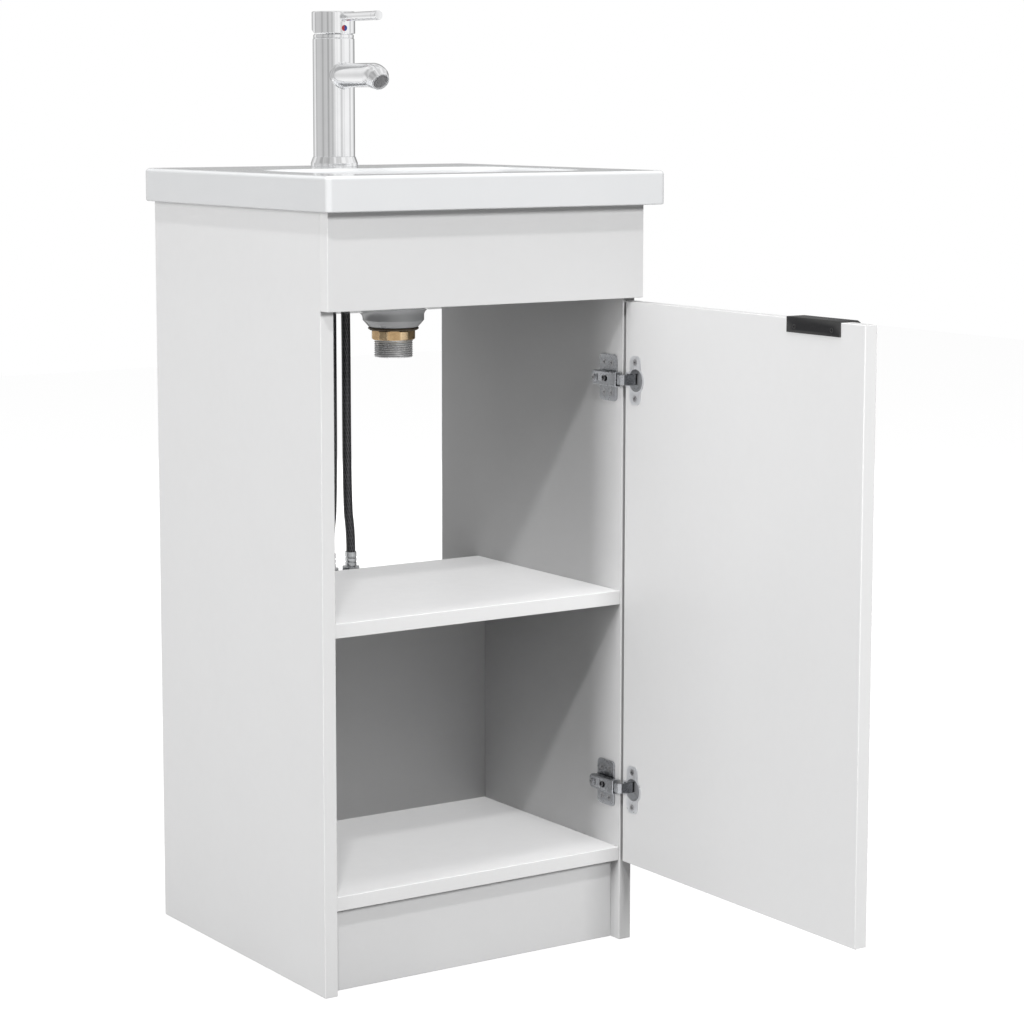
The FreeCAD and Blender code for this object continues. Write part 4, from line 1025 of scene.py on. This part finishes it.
def multiplied(tree, one, other):
    node = tree.nodes.new("ShaderNodeMath")
    node.operation = "MULTIPLY"
    tree.links.new(one, node.inputs[0])
    tree.links.new(other, node.inputs[1])
    return node.outputs[0]


def mirrored(tree, direction):
    """1 for the eye; in mirror images, a grey wall on the left, a grey patch behind on the
    right, and soft upright panels all round, for a direction from the middle."""
    parts = tree.nodes.new("ShaderNodeSeparateXYZ")
    tree.links.new(direction, parts.inputs[0])
    level_ways = tree.nodes.new("ShaderNodeCombineXYZ")
    tree.links.new(parts.outputs["X"], level_ways.inputs["X"])
    tree.links.new(parts.outputs["Y"], level_ways.inputs["Y"])
    panels = tree.nodes.new("ShaderNodeTexNoise")
    panels.inputs["Scale"].default_value = 3.4
    panels.inputs["Detail"].default_value = 1.0
    tree.links.new(level_ways.outputs[0], panels.inputs["Vector"])
    streaks = mapped(tree, panels.outputs["Fac"], 0.36, 0.6, 0.68, 1.0)
    wall = mapped(tree, parts.outputs["X"], -0.8, -0.25, 0.62, 1.0)
    facing = tree.nodes.new("ShaderNodeVectorMath")
    facing.operation = "DOT_PRODUCT"
    facing.inputs[1].default_value = (0.6, 0.8, 0)
    tree.links.new(direction, facing.inputs[0])
    behind = mapped(tree, facing.outputs["Value"], 0.62, 0.95, 1.0, 0.42)
    room = multiplied(tree, multiplied(tree, streaks, wall), behind)
    path = tree.nodes.new("ShaderNodeLightPath")
    shade = tree.nodes.new("ShaderNodeMix")
    tree.links.new(path.outputs["Is Glossy Ray"], shade.inputs["Factor"])
    shade.inputs["A"].default_value = 1.0
    tree.links.new(room, shade.inputs["B"])
    return shade.outputs["Result"]


def make_floor():
    """A plain white floor that takes a faint shadow and throws little light back up."""
    mesh = bpy.data.meshes.new("floor")
    half, sunk = 6.0, -0.0005
    form = bmesh.new()
    form.faces.new([form.verts.new((x * half, y * half, sunk))
                    for x, y in ((-1, -1), (1, -1), (1, 1), (-1, 1))])
    form.to_mesh(mesh)
    form.free()
    s = Surface("studio_floor", (0.25, 0.25, 0.25), 0.9)
    s.tint(s.spread(s.noise(400), 0, 0.3), (0.24, 0.24, 0.24))
    outward = s.tree.nodes.new("ShaderNodeVectorMath")
    outward.operation = "NORMALIZE"
    s.tree.links.new(s.tree.nodes.new("ShaderNodeTexCoord").outputs["Object"], outward.inputs[0])
    s.tree.links.new(mirrored(s.tree, outward.outputs["Vector"]), s.shader.inputs["Emission Color"])
    lit_for(s.tree, s.shader.inputs["Emission Strength"], 0.9, 0.02)
    s.material.cycles.emission_sampling = "NONE"
    mesh.materials.append(s.material)
    floor = bpy.data.objects.new("floor", mesh)
    scene.collection.objects.link(floor)


def make_world():
    """White for the eye, with soft panels for polished metal to mirror; much weaker as a light."""
    world = bpy.data.worlds.new("studio")
    world.use_nodes = True
    tree = world.node_tree
    back = tree.nodes["Background"]
    lit_for(tree, back.inputs["Strength"], 1.0, 0.08)
    world.cycles.sampling_method = "NONE"
    sky = tree.nodes.new("ShaderNodeTexCoord").outputs["Generated"]
    tree.links.new(mirrored(tree, sky), back.inputs["Color"])
    scene.world = world


def group(name, pieces, skip=False):
    """A collection that a light is linked to: only these pieces, or all but these."""
    made = bpy.data.collections.new(name)
    for piece in pieces:
        made.objects.link(bpy.data.objects[piece])
    if skip:
        for entry in made.collection_objects:
            entry.light_linking.link_state = "EXCLUDE"
    return made


def area_light(name, location, target, size, power, lights=None, stopped_by=None):
    """A soft light in watts, which may be linked to the pieces it lights and that shade it."""
    light = bpy.data.lights.new(name, "AREA")
    light.shape = "RECTANGLE"
    light.size, light.size_y = size
    light.energy = power
    thing = bpy.data.objects.new(name, light)
    scene.collection.objects.link(thing)
    thing.location = location
    thing.rotation_euler = (Vector(target) - Vector(location)).to_track_quat("-Z", "Y").to_euler()
    thing.visible_glossy = False
    thing.light_linking.receiver_collection = lights
    thing.light_linking.blocker_collection = stopped_by


MIDDLE = (0, 0, 0.5)
SHELVES = ["middle_shelf_board", "bottom_shelf_board"]

make_floor()
make_world()
area_light("front", (0.15, -4.4, 2.1), MIDDLE, (0.8, 0.8), 128,
           lights=group("front_lights", ["lower_back_panel_board"], skip=True))
area_light("front_high", (-2.5, -3.6, 5.3), MIDDLE, (0.35, 0.35), 105)
area_light("top", (0, -0.1, 3.2), (0, 0, 0.9), (1.2, 1.2), 46)
area_light("left", (-3.2, -0.42, 1.1), MIDDLE, (0.5, 1.4), 57)
area_light("left_wide", (-3.2, 0.2, 1.3), MIDDLE, (2.4, 2.4), 19,
           lights=group("left_wide_lights", ["basin_glazed"], skip=True))
area_light("door_fill", (-1.8, -2.4, 1.0), MIDDLE, (0.8, 0.8), 11,
           lights=group("door_fill_lights", ["door_panel_board"]))
area_light("shelf_fill", (0, -0.3, 2.5), (0, 0, 0.4), (0.6, 0.6), 28,
           lights=group("shelf_fill_lights", SHELVES),
           stopped_by=group("shelf_fill_stops", ["floor"]))
area_light("behind", (2.3, 3.2, 1.0), MIDDLE, (1.6, 1.6), 62,
           lights=group("behind_lights", SHELVES, skip=True))
scene.cycles.diffuse_bounces = 1
scene.view_settings.view_transform = "Standard"
